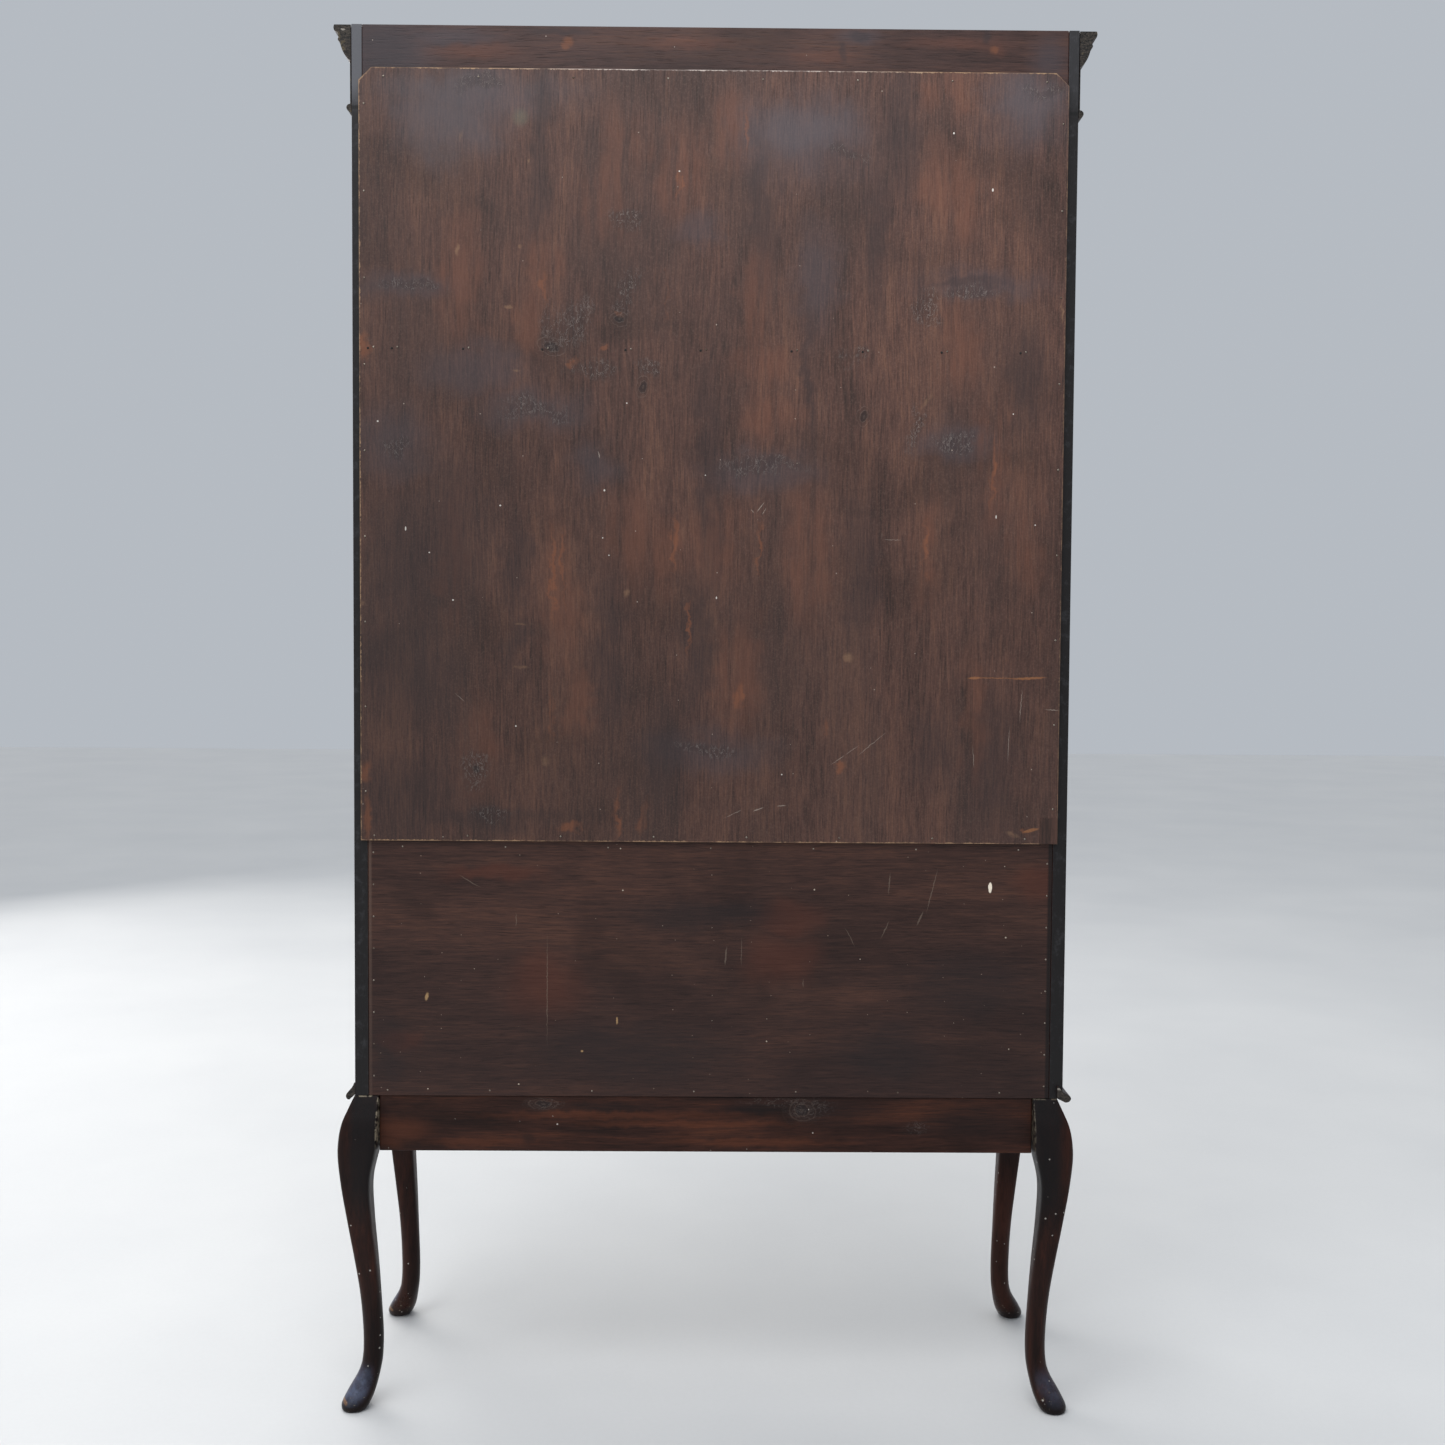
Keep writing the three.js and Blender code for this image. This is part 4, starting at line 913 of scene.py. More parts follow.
def build_legs():
    material = wood(
        "leg_wood", "z", shade(21, 11, 9), shade(40, 21, 16), shade(60, 31, 22), gloss=0.4, shine=0.14,
        figure=0.2, wear=0.1, bands=0.7, streaks=0.8, fibres=0.5, finish=leg_finish,
    )
    for side_name, side_sign in SIDES:
        for end_name, end_sign in (("front", -1), ("back", 1)):
            node = f"leg_{end_name}_{side_name}"
            mesh = leg_mesh(node, side_sign, end_sign)
            made = piece(f"{node}_carved", mesh, "carcass", [material], True)
            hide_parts(node)
            crisp(made, 50)


# ------------------------------------------------------------------ mouldings
MOULDING_STEPS = 14


def moulding_run(name, profile, run, materials, shift):
    """One length of moulding. run is "left", "right" or "front": the side lengths are sawn square at the
    back and mitred at the front. profile is (out from the carcass, height) in metres. shift moves a point."""
    rings = []
    for t in spaced(0, 1, MOULDING_STEPS):
        ring = []
        for out, z in profile:
            if run == "front":
                x, y = (HALF_WIDTH + out) * (2 * t - 1), FRONT - out
            else:
                sign = 1 if run == "right" else -1
                x, y = sign * (HALF_WIDTH + out), BACK + (FRONT - out - BACK) * t
            ring.append(Vector((x, y, z)))
        rings.append([shift(point) for point in ring] if shift else ring)
    vertices, faces = tube(rings)
    slots = [0] * (len(faces) - 2) + [1, 1]
    mesh = mesh_from(name, vertices, faces, slots)
    made = piece(name, mesh, "carcass", materials, True)
    crisp(made, 28)
    return made


def cornice_profile():
    low, high = (corner.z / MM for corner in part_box("cornice_moulding"))
    start = high - 45
    return in_metres(outline(
        (0.9, low), ((1.8, low),), ((1.8, start + 1),), ((9, start + 6), (12.4, start + 16)),
        ((14, start + 21), (14.6, start + 24)), ((18.6, start + 25.5), (16, start + 29.5)),
        ((16, start + 30.4),), ((16.4, start + 36.4), (21, start + 37.4)), ((21.6, start + 38),),
        ((23.3, high - 3), (21.4, high)), ((0.9, high),),
    ))


def neck_profile():
    low, high = (corner.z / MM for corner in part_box("neck_moulding"))
    middle = (low + high) / 2
    return in_metres(outline(
        (0.3, low), ((1.6, low),), ((2.0, low + 1.2),), ((6.2, low + 1.6), (6.6, middle)),
        ((6.2, high - 1.6), (2.0, high - 1.2)), ((1.6, high),), ((0.3, high),),
    ))


def base_profile():
    low, high = (corner.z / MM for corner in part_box("base_moulding"))
    top = BASE_TOP / MM
    return in_metres(outline(
        (0.3, top + 1), ((7.4, low),), ((11.6, low - 0.2), (11.9, low + 4.6)),
        ((11.8, top + 2), (9.6, top + 4)), ((4, top + 9), (1.4, high)), ((0.3, high),),
    ))


BREAK_LENGTH = 70 * MM
BREAK_WIDER = 0.55  # share by which the split end is spread outward
BREAK_SHIFT = Vector((8.5 * MM, 5.0 * MM, 0.5 * MM))
BREAK_LIFT = 0.16  # rise of its outer edge for each unit outward


def broken_end(vertex):
    """The last stretch of the left side's base moulding has split off and been stuck back askew, lapping
    over the side's back edge."""
    share = smoothstep(BACK - BREAK_LENGTH, BACK, vertex.y)
    out = -HALF_WIDTH - vertex.x
    spread_out = Vector((-out * BREAK_WIDER, 0, out * BREAK_LIFT))
    return vertex + (spread_out + BREAK_SHIFT) * share


def build_mouldings(end_material):
    along = {
        "front": wood("moulding_front_wood", "x", *BLACK_BROWN, gloss=0.34, coat=0.2, wear=0.8),
        "side": wood("moulding_side_wood", "y", *BLACK_BROWN, gloss=0.5, shine=0.4, wear=0.8),
    }
    profiles = {"cornice": cornice_profile(), "neck": neck_profile(), "base": base_profile()}
    for kind, profile in profiles.items():
        for run in ("front", "left", "right"):
            material = along["front" if run == "front" else "side"]
            loose = broken_end if (kind, run) == ("base", "left") else None
            made = moulding_run(f"{kind}_moulding_{run}", profile, run, [material, end_material], loose)
            if run == "front":
                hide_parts(f"{kind}_moulding")


# ------------------------------------------------------------------ back panels
SHEET_STEP = 12 * MM
SHEET_SINK = 0.5 * MM  # how far the sheet's middle lies under the CAD panel's face
SHEET_WAVE = 0.6 * MM


def build_upper_back():
    """The thin sheet is a little wavy between its nails, with its raw edge showing."""
    low, high = UPPER_LOW, UPPER_HIGH
    columns = spaced(low.x, high.x, round((high.x - low.x) / SHEET_STEP))
    rows = spaced(low.z, high.z, round((high.z - low.z) / SHEET_STEP))
    made = bmesh.new()
    grid = []
    for z in rows:
        for x in columns:
            wave = noise.noise(Vector((x * 5, 3.7, z * 3.2))) * 0.5
            wave += noise.noise(Vector((x * 16, 9.1, z * 9))) * 0.12
            grid.append(made.verts.new((x, high.y - SHEET_SINK + wave * SHEET_WAVE, z)))
    width = len(columns)
    for row in range(len(rows) - 1):
        for a in range(row * width, (row + 1) * width - 1):
            made.faces.new((grid[a], grid[a + width], grid[a + width + 1], grid[a + 1]))
    for side, edge in ((-1, low.x), (1, high.x)):
        corner = Vector((edge - side * CLIPPED_CORNER, 0, high.z))
        direction = Vector((side, 0, 1)).normalized()
        everything = made.verts[:] + made.edges[:] + made.faces[:]
        bmesh.ops.bisect_plane(made, geom=everything, plane_co=corner, plane_no=direction, clear_outer=True)
    made.normal_update()
    if sum(face.normal.y for face in made.faces) < 0:
        bmesh.ops.reverse_faces(made, faces=made.faces)
    mesh = emptied(made, bpy.data.meshes.new("upper_back_panel"))
    face_wood = wood(
        "upper_back_wood", "z", shade(54, 39, 34), shade(85, 59, 51), shade(109, 76, 61), gloss=0.46,
        shine=0.28, figure=0.08, wear=0.15, bands=0.5, streaks=0.35, fibres=0.8, finish=upper_back_finish,
    )
    materials = [face_wood, raw_edge("raw_ply_edge")]
    panel = piece("upper_back_panel", mesh, "carcass", materials, True)
    skin = panel.modifiers.new("thickness", "SOLIDIFY")
    skin.thickness = high.y - low.y - 0.9 * MM
    skin.offset = -1
    skin.material_offset_rim = 1
    crisp(panel, 40)
    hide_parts("back_panel_upper")
    return high.y


def domes(places, radius, height):
    """Low round nail heads on a face that looks along +Y."""
    steps = ((1, 0), (0.92, 0.5), (0.55, 0.9), (0.1, 1))
    profile = [(radius * across, height * up) for across, up in steps]
    return gather([lathe(profile, (x, y - 0.3 * MM, z), (0, 1, 0), 10) for x, y, z in places])


def middles(low, high, count):
    """The middles of equal lengths between low and high."""
    return [low + (high - low) * (index + 0.5) / count for index in range(count)]


NAIL_INSET = 6.5 * MM
SHELF_NAILS = (430, 400, 310, 210, 105, 10, -105, -195, -295, -395)  # x in mm: a nail, and a hole beside it


def build_nails(upper_face):
    """Nails round the two back panels and along the fixed shelf, where each has an empty hole beside it."""
    upper_low, upper_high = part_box("back_panel_upper")
    lower_low, lower_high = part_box("back_panel_lower")
    shelf_low, shelf_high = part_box("shelf_fixed")
    spots = []
    for z in middles(upper_low.z, upper_high.z, 9):
        spots.append((upper_low.x + NAIL_INSET, upper_face, z - 9 * MM))
        spots.append((upper_high.x - NAIL_INSET, upper_face, z + 9 * MM))
    for share in spaced(-0.93, 0.93, 7):
        x = upper_high.x * share
        spots.append((x, upper_face, upper_high.z - 11 * MM))
        spots.append((x + 14 * MM, upper_face, upper_low.z + NAIL_INSET))
    for z in middles(lower_low.z, lower_high.z, 8):
        spots += [(sign * (lower_high.x - NAIL_INSET), lower_high.y, z + 5 * MM * sign) for sign in (-1, 1)]
    for share in spaced(-0.9, 0.9, 6):
        x = lower_high.x * share
        spots.append((x, lower_high.y, lower_high.z - 8 * MM))
        spots.append((x + 20 * MM, lower_high.y, lower_low.z + 7 * MM))
    shelf_z = (shelf_low.z + shelf_high.z) / 2
    spots += [(x * MM, upper_face, shelf_z) for x in SHELF_NAILS]
    bright = metal("nail_metal", shade(150, 140, 128), shade(84, 70, 60), 0.4)
    heads = domes(spots, 1.25 * MM, 0.55 * MM)
    piece("panel_nails", mesh_from("panel_nails", *heads), "carcass", [bright], True)
    # Painted shade: the empty holes are near-black discs, dark for their depth.
    dark = Shader("nail_hole")
    rough = dark.noise(dark.position, 900.0)
    dark.set(Base_Color=dark.mix(rough, shade(8, 7, 7), shade(26, 20, 18)))
    dark.set(Roughness=dark.ramp(rough, 0, 1, 0.7, 0.95))
    spots = [(x * MM + 7 * MM, upper_face, shelf_z - 1.5 * MM) for x in SHELF_NAILS]
    holes = domes(spots, 1.5 * MM, 0.34 * MM)
    piece("nail_holes", mesh_from("nail_holes", *holes), "carcass", [dark.material], True)


PATCH_WIDTH, PATCH_HEIGHT = 23 * MM, 33 * MM


def build_patch(upper_face):
    """A small square of ply let into the upper panel's lower corner, cut a little out of square."""
    low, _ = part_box("back_panel_upper")
    x0, z0 = low.x + 0.4 * MM, low.z + 0.4 * MM
    x1, z1 = x0 + PATCH_WIDTH, z0 + PATCH_HEIGHT
    made = bmesh.new()
    corners = [(x0, z0), (x1, z0), (x1 - 0.8 * MM, z1), (x0, z1 - 0.5 * MM)]
    depths = (upper_face - 2 * MM, upper_face + 0.15 * MM)
    layers = [[made.verts.new((x, y, z)) for x, z in corners] for y in depths]
    for i in range(4):
        j = (i + 1) % 4
        made.faces.new((layers[0][i], layers[0][j], layers[1][j], layers[1][i]))
    made.faces.new(layers[0][::-1])
    made.faces.new(layers[1])
    bmesh.ops.bevel(made, geom=made.edges[:], offset=0.3 * MM, segments=2, affect="EDGES")
    mesh = emptied(made, bpy.data.meshes.new("panel_patch"))
    tones = (shade(52, 37, 32), shade(78, 54, 46), shade(100, 68, 54))
    patch = wood("patch_wood", "z", *tones, gloss=0.46, shine=0.3)
    piece("panel_patch", mesh, "carcass", [patch])


# ------------------------------------------------------------------ display doors
# Half of a glazing bar's section in mm: out from its middle, and away from the glass.
BAR_HALF = ((1.1, 7.5), (2.2, 5.8), (3.2, 3.2), (4.5, 2.2), (4.5, 0))
BAR_SECTION = in_metres([*((-u, v) for u, v in BAR_HALF[::-1]), (0, 8), *BAR_HALF])


def build_bars(side_name, material):
    """Moulded glazing bars: three rows of upright panes with pointed arches crossing above them."""
    low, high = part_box(f"upper_door_bars_{side_name}")
    half = (high.x - low.x) / 2
    middle = (high.x + low.x) / 2
    spring = high.z - half * 1.18  # the height that the arches start from
    back = high.y
    paths = [[(middle, back, low.z), (middle, back, spring)]]
    for z in spaced(low.z, spring, 3)[1:]:
        paths.append([(low.x, back, z), (high.x, back, z)])
    top_angle = math.asin((high.z - spring) / (2 * half))
    arcs = (
        (low.x, 2 * half, 0, top_angle), (high.x, 2 * half, math.pi, math.pi - top_angle),
        (low.x, half, 0, math.pi / 2), (high.x, half, math.pi, math.pi / 2),
    )
    for x, radius, start, end in arcs:
        angles = spaced(start, end, 18)
        paths.append([(x + radius * math.cos(a), back, spring + radius * math.sin(a)) for a in angles])
    shapes = [sweep(BAR_SECTION, path, (0, -1, 0)) for path in paths]
    mesh = mesh_from(f"glazing_bars_{side_name}", *gather(shapes))
    made = piece(f"glazing_bars_{side_name}", mesh, f"upper_door_{side_name}", [material], True)
    crisp(made, 50)
    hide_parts(f"upper_door_bars_{side_name}")


def frame_bead(name, low, high, y, section, body, material):
    """A mitred bead round the inside of an opening. section is (in from the edge, out of the face) in mm."""
    corners = ((low.x, low.z, 1, 1), (high.x, low.z, -1, 1), (high.x, high.z, -1, -1), (low.x, high.z, 1, -1))
    rings = [[(x + dx * u * MM, y - v * MM, z + dz * u * MM) for u, v in section] for x, z, dx, dz in corners]
    mesh = mesh_from(name, *tube(rings, closed=True))
    made = piece(name, mesh, body, [material], True)
    crisp(made, 35)


OVOLO = outline((0, 0), ((5.5, 0),), ((5.5, -1.2),), ((1.6, -1.8), (0.9, -6.5)), ((0, -6.5),))


def build_doors(bar_wood):
    """The glazing bars, and the beads round the glass and round the cupboard doors' panels."""
    for side_name, _ in SIDES:
        low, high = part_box(f"upper_door_bars_{side_name}")
        gap = Vector((0.3 * MM, 0, 0.3 * MM))
        build_bars(side_name, bar_wood)
        body, name = f"upper_door_{side_name}", f"glazing_ovolo_{side_name}"
        section = [(u, v + 6.6) for u, v in OVOLO]
        frame_bead(name, low - gap, high + gap, high.y - 0.2 * MM, section, body, bar_wood)
        frame_low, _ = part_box(f"lower_door_frame_{side_name}")
        panel_low, panel_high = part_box(f"lower_door_panel_{side_name}")
        inset = Vector((6 * MM, 0, 6 * MM))
        body, name = f"lower_door_{side_name}", f"panel_ovolo_{side_name}"
        section = [(u * 0.8, v * 0.9 + 5.9) for u, v in OVOLO]
        face = frame_low.y + 5.6 * MM
        frame_bead(name, panel_low + inset, panel_high - inset, face, section, body, bar_wood)


# ------------------------------------------------------------------ brassware
KNOB_PROFILE = in_metres(outline(
    (0.2, 0), ((9, 0),), ((9.4, 1.6), (8, 2.4)), ((5.2, 3), (4.7, 6.5)), ((4.4, 10.5), (6.5, 12)),
    ((7.6, 12.3),), ((7.8, 13.4),), ((12.8, 14.2), (12.8, 18.6)), ((12.4, 23), (7.5, 25.2)),
    ((4, 26.6), (0.2, 26.8)),
))


def build_knobs(brass):
    for side_name, _ in SIDES:
        low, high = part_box(f"lower_knob_{side_name}")
        centre = ((low.x + high.x) / 2, high.y, (low.z + high.z) / 2)
        mesh = mesh_from("knob", *lathe(KNOB_PROFILE, centre, (0, -1, 0), 44))
        made = piece(f"turned_knob_{side_name}", mesh, f"lower_door_{side_name}", [brass], True)
        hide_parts(f"lower_knob_{side_name}")


BOW_WIRE = 1.5 * MM  # half the thickness of the key's bow, up and down it
BOW_HALF_DEPTH = 6 * MM
# The collared start of the shank, and the steps of the plate from its rim to its hole, all in mm.
SHANK = ((0.2, 0), (2.6, 0), (3.4, 1), (3.4, 2.4), (2.4, 3), (2.4, 5), (3.1, 5.6), (3.1, 6.4), (2.2, 7))
PLATE_RINGS = ((9, 14, 0.02), (8.4, 13.4, 0.8), (6.8, 11.8, 1.05), (3.6, 3.6, 0.8), (3.6, 3.6, 0.02))
PLATE_TURNS = 40


def build_key(brass):
    """The key's oval bow, its collared shank and its bit, and the plate round the keyhole."""
    low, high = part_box("upper_key")
    x, z = (low.x + high.x) / 2, (low.z + high.z) / 2
    half_height = (high.z - low.z) / 2 - BOW_WIRE
    bow_y = low.y + BOW_HALF_DEPTH + BOW_WIRE
    bow = [
        (x, bow_y + BOW_HALF_DEPTH * math.cos(a), z + half_height * math.sin(a)) for a in spaced(0, TURN, 40)
    ]
    wire = [(1.6 * MM * math.cos(a), BOW_WIRE * math.sin(a)) for a in spaced(0, TURN, 10)[:-1]]
    start = bow_y + BOW_HALF_DEPTH
    length = high.y - start
    profile = in_metres(SHANK) + [(2.2 * MM, length), (0.2 * MM, length)]
    shapes = [sweep(wire, bow, (1, 0, 0)), lathe(profile, (x, start, z), (0, 1, 0), 24)]
    made = piece("key_with_bow", mesh_from("key", *gather(shapes)), "key", [brass], True)
    bit_low = Vector((x - 1 * MM, high.y - 5 * MM, z - 4.8 * MM))
    bit_high = Vector((x + 1 * MM, high.y - 1 * MM, z - 1.5 * MM))
    build_block("key_bit", bit_low, bit_high, "key", brass, 0.2 * MM)
    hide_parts("upper_key")
    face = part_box("upper_door_frame_right")[0].y
    around = spaced(0, TURN, PLATE_TURNS)[:-1]
    rings = [
        [(x + half_x * math.cos(a), face - out, z + half_z * math.sin(a)) for a in around]
        for half_x, half_z, out in in_metres(PLATE_RINGS)
    ]
    mesh = mesh_from("escutcheon", *tube(rings, closed=True))
    piece("keyhole_plate", mesh, "upper_door_right", [brass], True)


def build_block(name, low, high, body, material, arris):
    """A small block with rounded arrises."""
    made = bmesh.new()
    bmesh.ops.create_cube(made, size=1)
    centre, size = (low + high) / 2, high - low
    for vertex in made.verts:
        vertex.co = Vector(c + v * s for c, v, s in zip(centre, vertex.co, size))
    bmesh.ops.bevel(made, geom=made.edges[:], offset=arris, segments=2, affect="EDGES")
    piece(name, emptied(made, bpy.data.meshes.new(name)), body, [material])


SCREW_RADIUS = 2.3 * MM
HALF_SLOT = 0.3 * MM


def slotted_head(centre, way, turn):
    """A nearly flush screw head on a face that looks along X: two half discs, either side of the slot."""
    x, y, z = centre
    start = math.asin(HALF_SLOT / SCREW_RADIUS)
    halves = []
    for first in (turn + start, turn + math.pi + start):
        arc = [
            (y + SCREW_RADIUS * math.cos(a), z + SCREW_RADIUS * math.sin(a))
            for a in spaced(first, first + math.pi - 2 * start, 12)
        ]
        halves.append(tube([[(x + way * depth, *point) for point in arc] for depth in (-0.4 * MM, 0.2 * MM)]))
    return gather(halves)


SCREW_SPREAD = 0.34  # the share of a leaf's height between two of its screws
SCREW_TURN = 1.3  # how far each slot is turned round from the one before it
SCREW_INSET = 6 * MM  # from the leaf's back edge
DOOR_GAP = 2 * MM


def build_hinge_screws(brass):
    """Three screws in each hinge leaf, seen when the doors are open."""
    heads = {}
    for node in sorted(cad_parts):
        if not node.startswith("hinge_"):
            continue
        _, row, side_name, _, leaf, _ = node.split("_")
        sign = -1 if side_name == "left" else 1
        low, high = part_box(node)
        x, way = (INNER_X, -sign) if leaf == "side" else (INNER_X - DOOR_GAP, sign)
        body = "carcass" if leaf == "side" else f"{row}_door_{side_name}"
        for step in (-1, 0, 1):
            z = (low.z + high.z) / 2 + step * SCREW_SPREAD * (high.z - low.z)
            turn = SCREW_TURN * len(heads.setdefault(body, []))
            heads[body].append(slotted_head((sign * x, high.y - SCREW_INSET, z), way, turn))
    for body, shapes in heads.items():
        name = f"hinge_screws_{body}"
        piece(name, mesh_from(name, *gather(shapes)), body, [brass])


HINGE_BARREL = 3.2 * MM
FINIAL = in_metres((
    (2.4, -0.2), (2.4, 0.8), (1.5, 1.2), (2.1, 2.2), (2.2, 3), (1.7, 4), (0.9, 4.6), (0.1, 4.8),
))


def build_hinge_finials(brass):
    """A small turned ball at each end of every hinge pin."""
    shapes = []
    for node in sorted(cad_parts):
        if not (node.startswith("hinge_") and node.endswith("side_leaf")):
            continue
        low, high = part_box(node)
        x = math.copysign(INNER_X - 1 * MM, low.x)
        for z, way in ((high.z, 1), (low.z, -1)):
            shapes.append(lathe(FINIAL, (x, low.y + HINGE_BARREL, z), (0, 0, way), 16))
    piece("hinge_finials", mesh_from("hinge_finials", *gather(shapes)), "carcass", [brass], True)


STAPLE_INNER, STAPLE_OUTER = 3.4 * MM, 4.4 * MM  # the inside and outside radius of a staple's arch
STAPLE_FOOT = 9 * MM
STAPLE_HALF_WIDTH = 3 * MM


def build_bolt_staples(brass):
    """Two straps that hold the slide bolt to the back of the left door."""
    bolt_low, bolt_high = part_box("upper_slide_bolt")
    x, y = (bolt_low.x + bolt_high.x) / 2, bolt_low.y + 3 * MM
    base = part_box("upper_door_frame_left")[1].y - y
    top = base + 1 * MM
    arch, under = (
        [(radius * math.cos(a), radius * math.sin(a)) for a in spaced(0, math.pi, 12)]
        for radius in (STAPLE_OUTER, STAPLE_INNER)
    )
    loop = [
        (STAPLE_OUTER, top), *arch, (-STAPLE_OUTER, top), (-STAPLE_FOOT, top), (-STAPLE_FOOT, base),
        (-STAPLE_INNER, base), *under[::-1], (STAPLE_INNER, base), (STAPLE_FOOT, base), (STAPLE_FOOT, top),
    ]
    for index, z in enumerate((bolt_low.z + 10 * MM, bolt_low.z + 34 * MM)):
        name = f"bolt_staple_{index + 1}"
        levels = (z - STAPLE_HALF_WIDTH, z + STAPLE_HALF_WIDTH)
        mesh = mesh_from(name, *tube([[(x + u, y + v, level) for u, v in loop] for level in levels]))
        piece(name, mesh, "upper_door_left", [brass])


# ------------------------------------------------------------------ stage, lights and camera
FLOOR_HALF = 14
SKY_COLOUR = (0.86, 0.92, 1.0, 1)
SKY_STRENGTH = 0.54


def build_stage():
    corners = [(x * FLOOR_HALF, y * FLOOR_HALF, 0) for x, y in ((-1, -1), (1, -1), (1, 1), (-1, 1))]
    mesh = mesh_from("floor", corners, [(0, 1, 2, 3)])
    floor = linked("floor", mesh)
    mesh.materials.append(floor_material())
    world = bpy.data.worlds.new("studio")
    bpy.context.scene.world = world
    world.use_nodes = True
    background = world.node_tree.nodes["Background"]
    background.inputs["Color"].default_value = SKY_COLOUR
    background.inputs["Strength"].default_value = SKY_STRENGTH


def lamp(name, place, target, size, power, colour):
    """A soft rectangular lamp that faces its target."""
    data = bpy.data.lights.new(name, "AREA")
    data.shape = "RECTANGLE"
    data.size, data.size_y = size
    data.energy = power
    data.color = colour
    made = linked(name, data)
    made.location = place
    made.rotation_mode = "QUATERNION"
    made.rotation_quaternion = (Vector(target) - Vector(place)).to_track_quat("-Z", "Y")


def build_lights():
    lamp("high_behind", (0.4, 1.7, 3.1), (0, 0.14, 1.4), (2.2, 1.2), 36, (0.97, 0.98, 1.0))
    lamp("window_behind", (3.4, 2.6, 1.9), (0, 0, 0.9), (1.8, 2.2), 28, (0.95, 0.98, 1.0))
    lamp("high_front", (0.9, -2.0, 3.1), (0, -0.14, 1.2), (2.6, 1.8), 52, (1.0, 0.98, 0.95))
    lamp("window_front", (3.2, -3.0, 1.9), (0, 0, 0.9), (2.6, 2.4), 52, (1.0, 0.98, 0.96))
    data = bpy.data.lights.new("daylight", "SUN")
    data.energy = 0.95
    data.angle = math.radians(60)
    daylight = linked("daylight", data)
    daylight.rotation_euler = (math.radians(-12), math.radians(14), 0)


CAMERA_PLACE = (-1.5 * MM, BACK + 1886.8 * MM, 973.3 * MM)
CAMERA_TURNS = (2.345, -0.373, 0.38)  # degrees down, round and over
CAMERA_LENS = 36.75


def build_camera():
    """The camera stands square behind the cabinet, a little above its middle."""
    data = bpy.data.cameras.new("camera")
    data.sensor_width = 36
    data.lens = CAMERA_LENS
    made = linked("camera", data)
    bpy.context.scene.camera = made
    pitch, yaw, roll = (math.radians(a) for a in CAMERA_TURNS)
    ahead = Vector((math.sin(yaw) * math.cos(pitch), -math.cos(yaw) * math.cos(pitch), -math.sin(pitch)))
    right = ahead.cross(Vector((0, 0, 1))).normalized()
    up = right.cross(ahead)
    tilted = right * math.cos(roll) + up * math.sin(roll)
    upright = up * math.cos(roll) - right * math.sin(roll)
    turn = Matrix((tilted, upright, -ahead)).transposed()
    made.matrix_world = Matrix.Translation(CAMERA_PLACE) @ turn.to_4x4()


# ------------------------------------------------------------------ putting it together
def dress_carcass(woods):
    dress(woods["lower_back"], "back_panel_lower", arris=0.5 * MM)
    dress(woods["rail"], "back_top_rail", arris=1.2 * MM)
    dress(woods["apron_back"], "apron_back", arris=1.2 * MM)
    dress(woods["across"], "frieze_board", "middle_board", "apron_front")
    dress(woods["deep"], "apron_left", "apron_right", arris=1.2 * MM)
    dress(woods["inside"], "bottom_board", "top_board", "shelf_fixed", "shelf_loose", arris=1.2 * MM)
    dress(woods["side"], "side_frame_left", "side_frame_right", arris=0.9 * MM)
    for name in ("left", "right"):
        dress(woods[f"upper_{name}"], f"upper_door_frame_{name}")
        dress(woods[f"lower_{name}"], f"lower_door_frame_{name}")
        dress(woods["panel"], f"lower_door_panel_{name}", arris=0)


def door_rails(node, top_rail, bottom_rail, stile):
    """The two boxes of a door where the grain runs across. The widths of its members are in mm."""
    low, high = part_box(node)
    left, right = low.x + stile * MM, high.x - stile * MM
    return (
        ((left, high.z - top_rail * MM), (right, high.z + 1)),
        ((left, low.z - 1), (right, low.z + bottom_rail * MM)),
    )


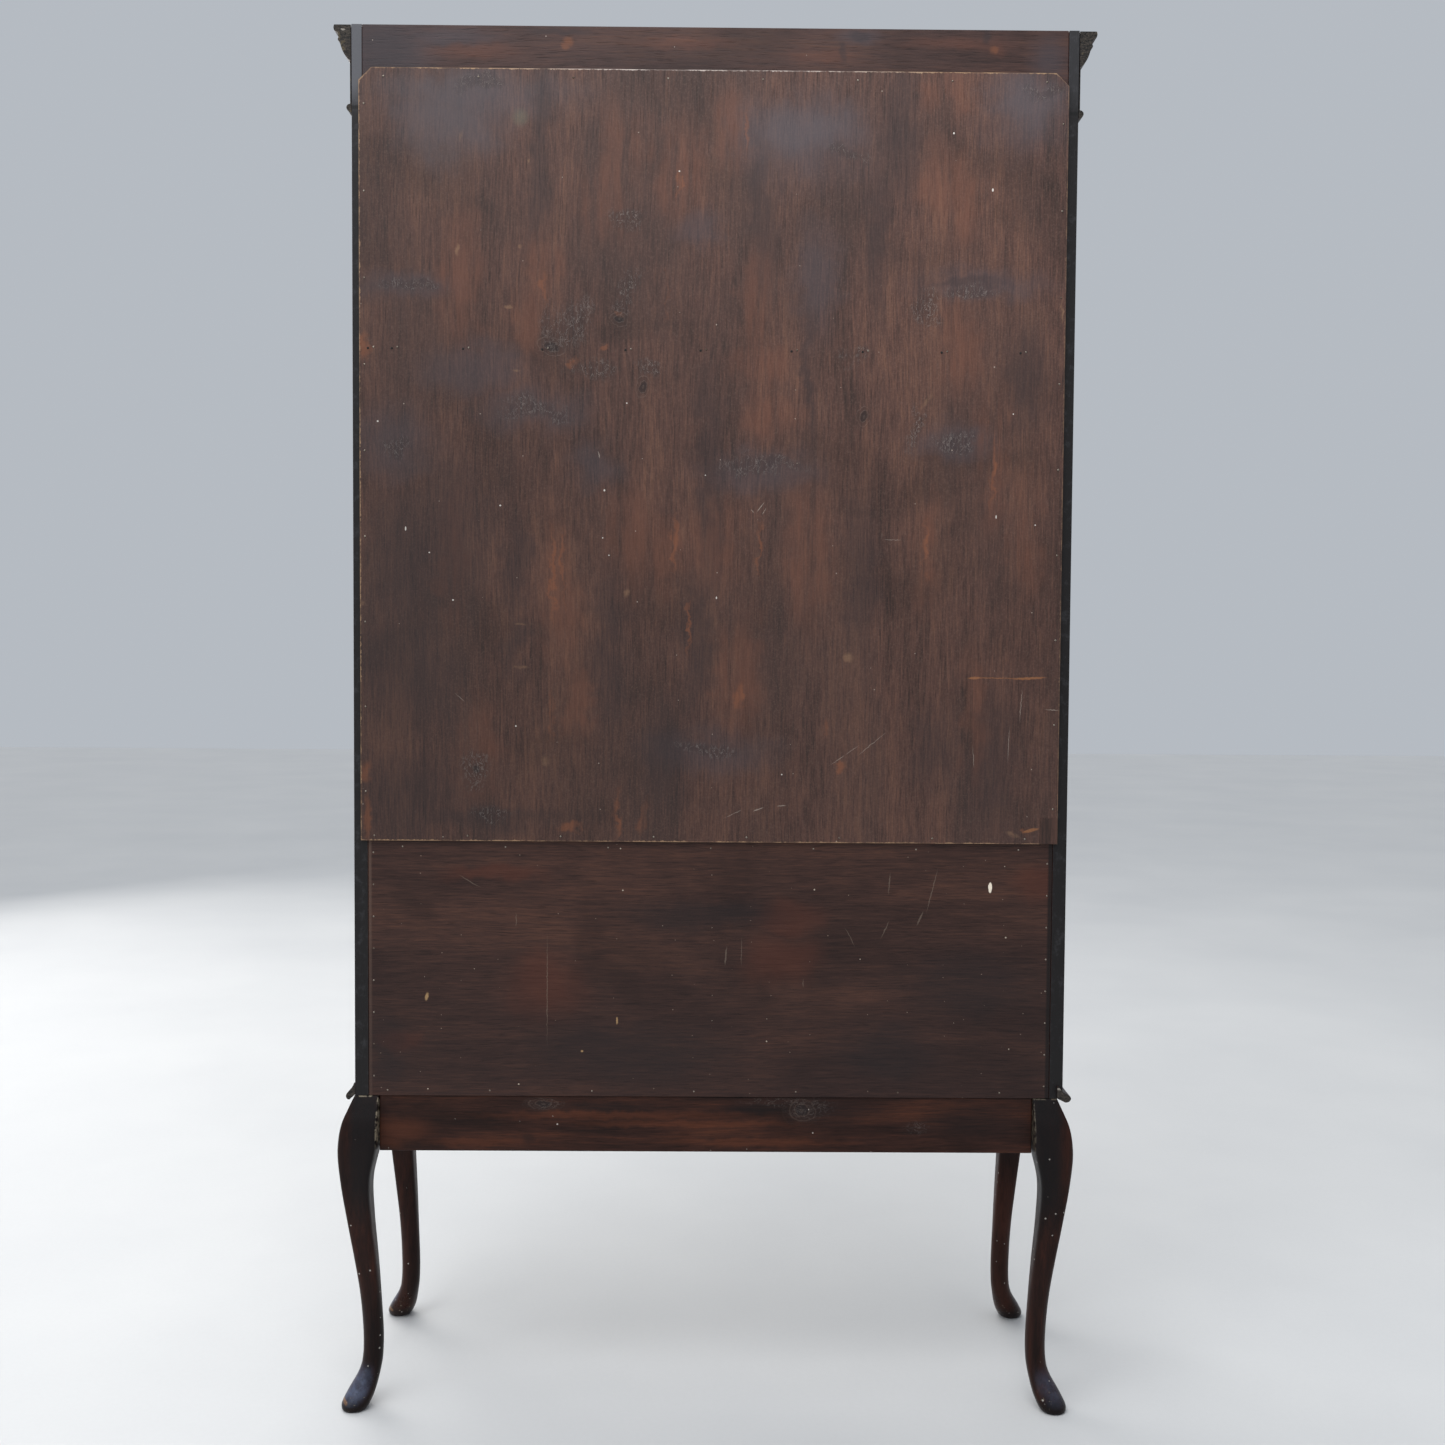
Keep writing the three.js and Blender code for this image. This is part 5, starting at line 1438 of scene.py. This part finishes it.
def show_woods():
    show = dict(gloss=0.3, coat=0.35)
    woods = {
        "across": wood("show_wood_across", "x", *RED_BROWN, **show),
        "deep": wood("show_wood_deep", "y", *RED_BROWN, **show),
        "bars": wood("show_wood_bars", "z", *RED_BROWN, **show),
        "side": wood("side_wood", "z", *RED_BROWN, gloss=0.36, coat=0.0, shine=0.3, finish=side_finish),
        "panel": wood("panel_wood", "x", *RED_BROWN, **show, figure=1.0),
        "inside": wood("inside_wood", "x", *INSIDE_BROWN, gloss=0.45),
        "lower_back": wood(
            "lower_back_wood", "x", shade(43, 28, 25), shade(63, 42, 36), shade(84, 55, 44), gloss=0.46,
            shine=0.22, figure=0.1, wear=0.15, bands=0.6, streaks=0.35, fibres=0.7, finish=lower_back_finish,
        ),
        "rail": wood(
            "back_rail_wood", "x", shade(48, 32, 29), shade(70, 48, 43), shade(85, 57, 46), gloss=0.44,
            shine=0.24, figure=0.15, wear=0.15, bands=0.5, streaks=0.5, fibres=0.7, finish=rail_finish,
        ),
        "apron_back": wood(
            "back_apron_wood", "x", shade(32, 18, 14), shade(54, 31, 24), shade(78, 44, 30), gloss=0.42,
            shine=0.16, figure=0.4, wear=0.15, bands=0.6, streaks=0.8, fibres=0.6, finish=apron_finish,
        ),
    }
    for name in ("left", "right"):
        rails = door_rails(f"upper_door_frame_{name}", top_rail=42, bottom_rail=56, stile=42)
        woods[f"upper_{name}"] = wood(f"upper_door_wood_{name}", "z", *RED_BROWN, **show, cross=rails)
        rails = door_rails(f"lower_door_frame_{name}", top_rail=44, bottom_rail=44, stile=42)
        woods[f"lower_{name}"] = wood(f"lower_door_wood_{name}", "z", *RED_BROWN, **show, cross=rails)
    return woods


def dress_metal(brass, steel):
    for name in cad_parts:
        if name.startswith(("hinge_", "shelf_peg_")) or name == "upper_slide_bolt":
            dress(brass, name, arris=0)
        elif name.startswith("upper_lock"):
            dress(steel, name, arris=0.3 * MM)


def main():
    build_camera()
    build_stage()
    build_lights()
    woods = show_woods()
    brass = metal("aged_brass", shade(190, 146, 78), shade(104, 78, 44), 0.24)
    steel = metal("lock_steel", shade(140, 136, 130), shade(86, 78, 70), 0.34)
    pane = glass("old_glass")
    dress_carcass(woods)
    dress_metal(brass, steel)
    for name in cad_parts:
        if "_glass_" in name:
            dress(pane, name, arris=0.4 * MM)
    build_legs()
    build_mouldings(end_grain("sawn_end"))
    upper_face = build_upper_back()
    build_nails(upper_face)
    build_patch(upper_face)
    build_doors(woods["bars"])
    build_knobs(brass)
    build_key(brass)
    build_hinge_finials(brass)
    build_hinge_screws(brass)
    build_bolt_staples(brass)
    bpy.context.scene.view_settings.view_transform = "Standard"


main()
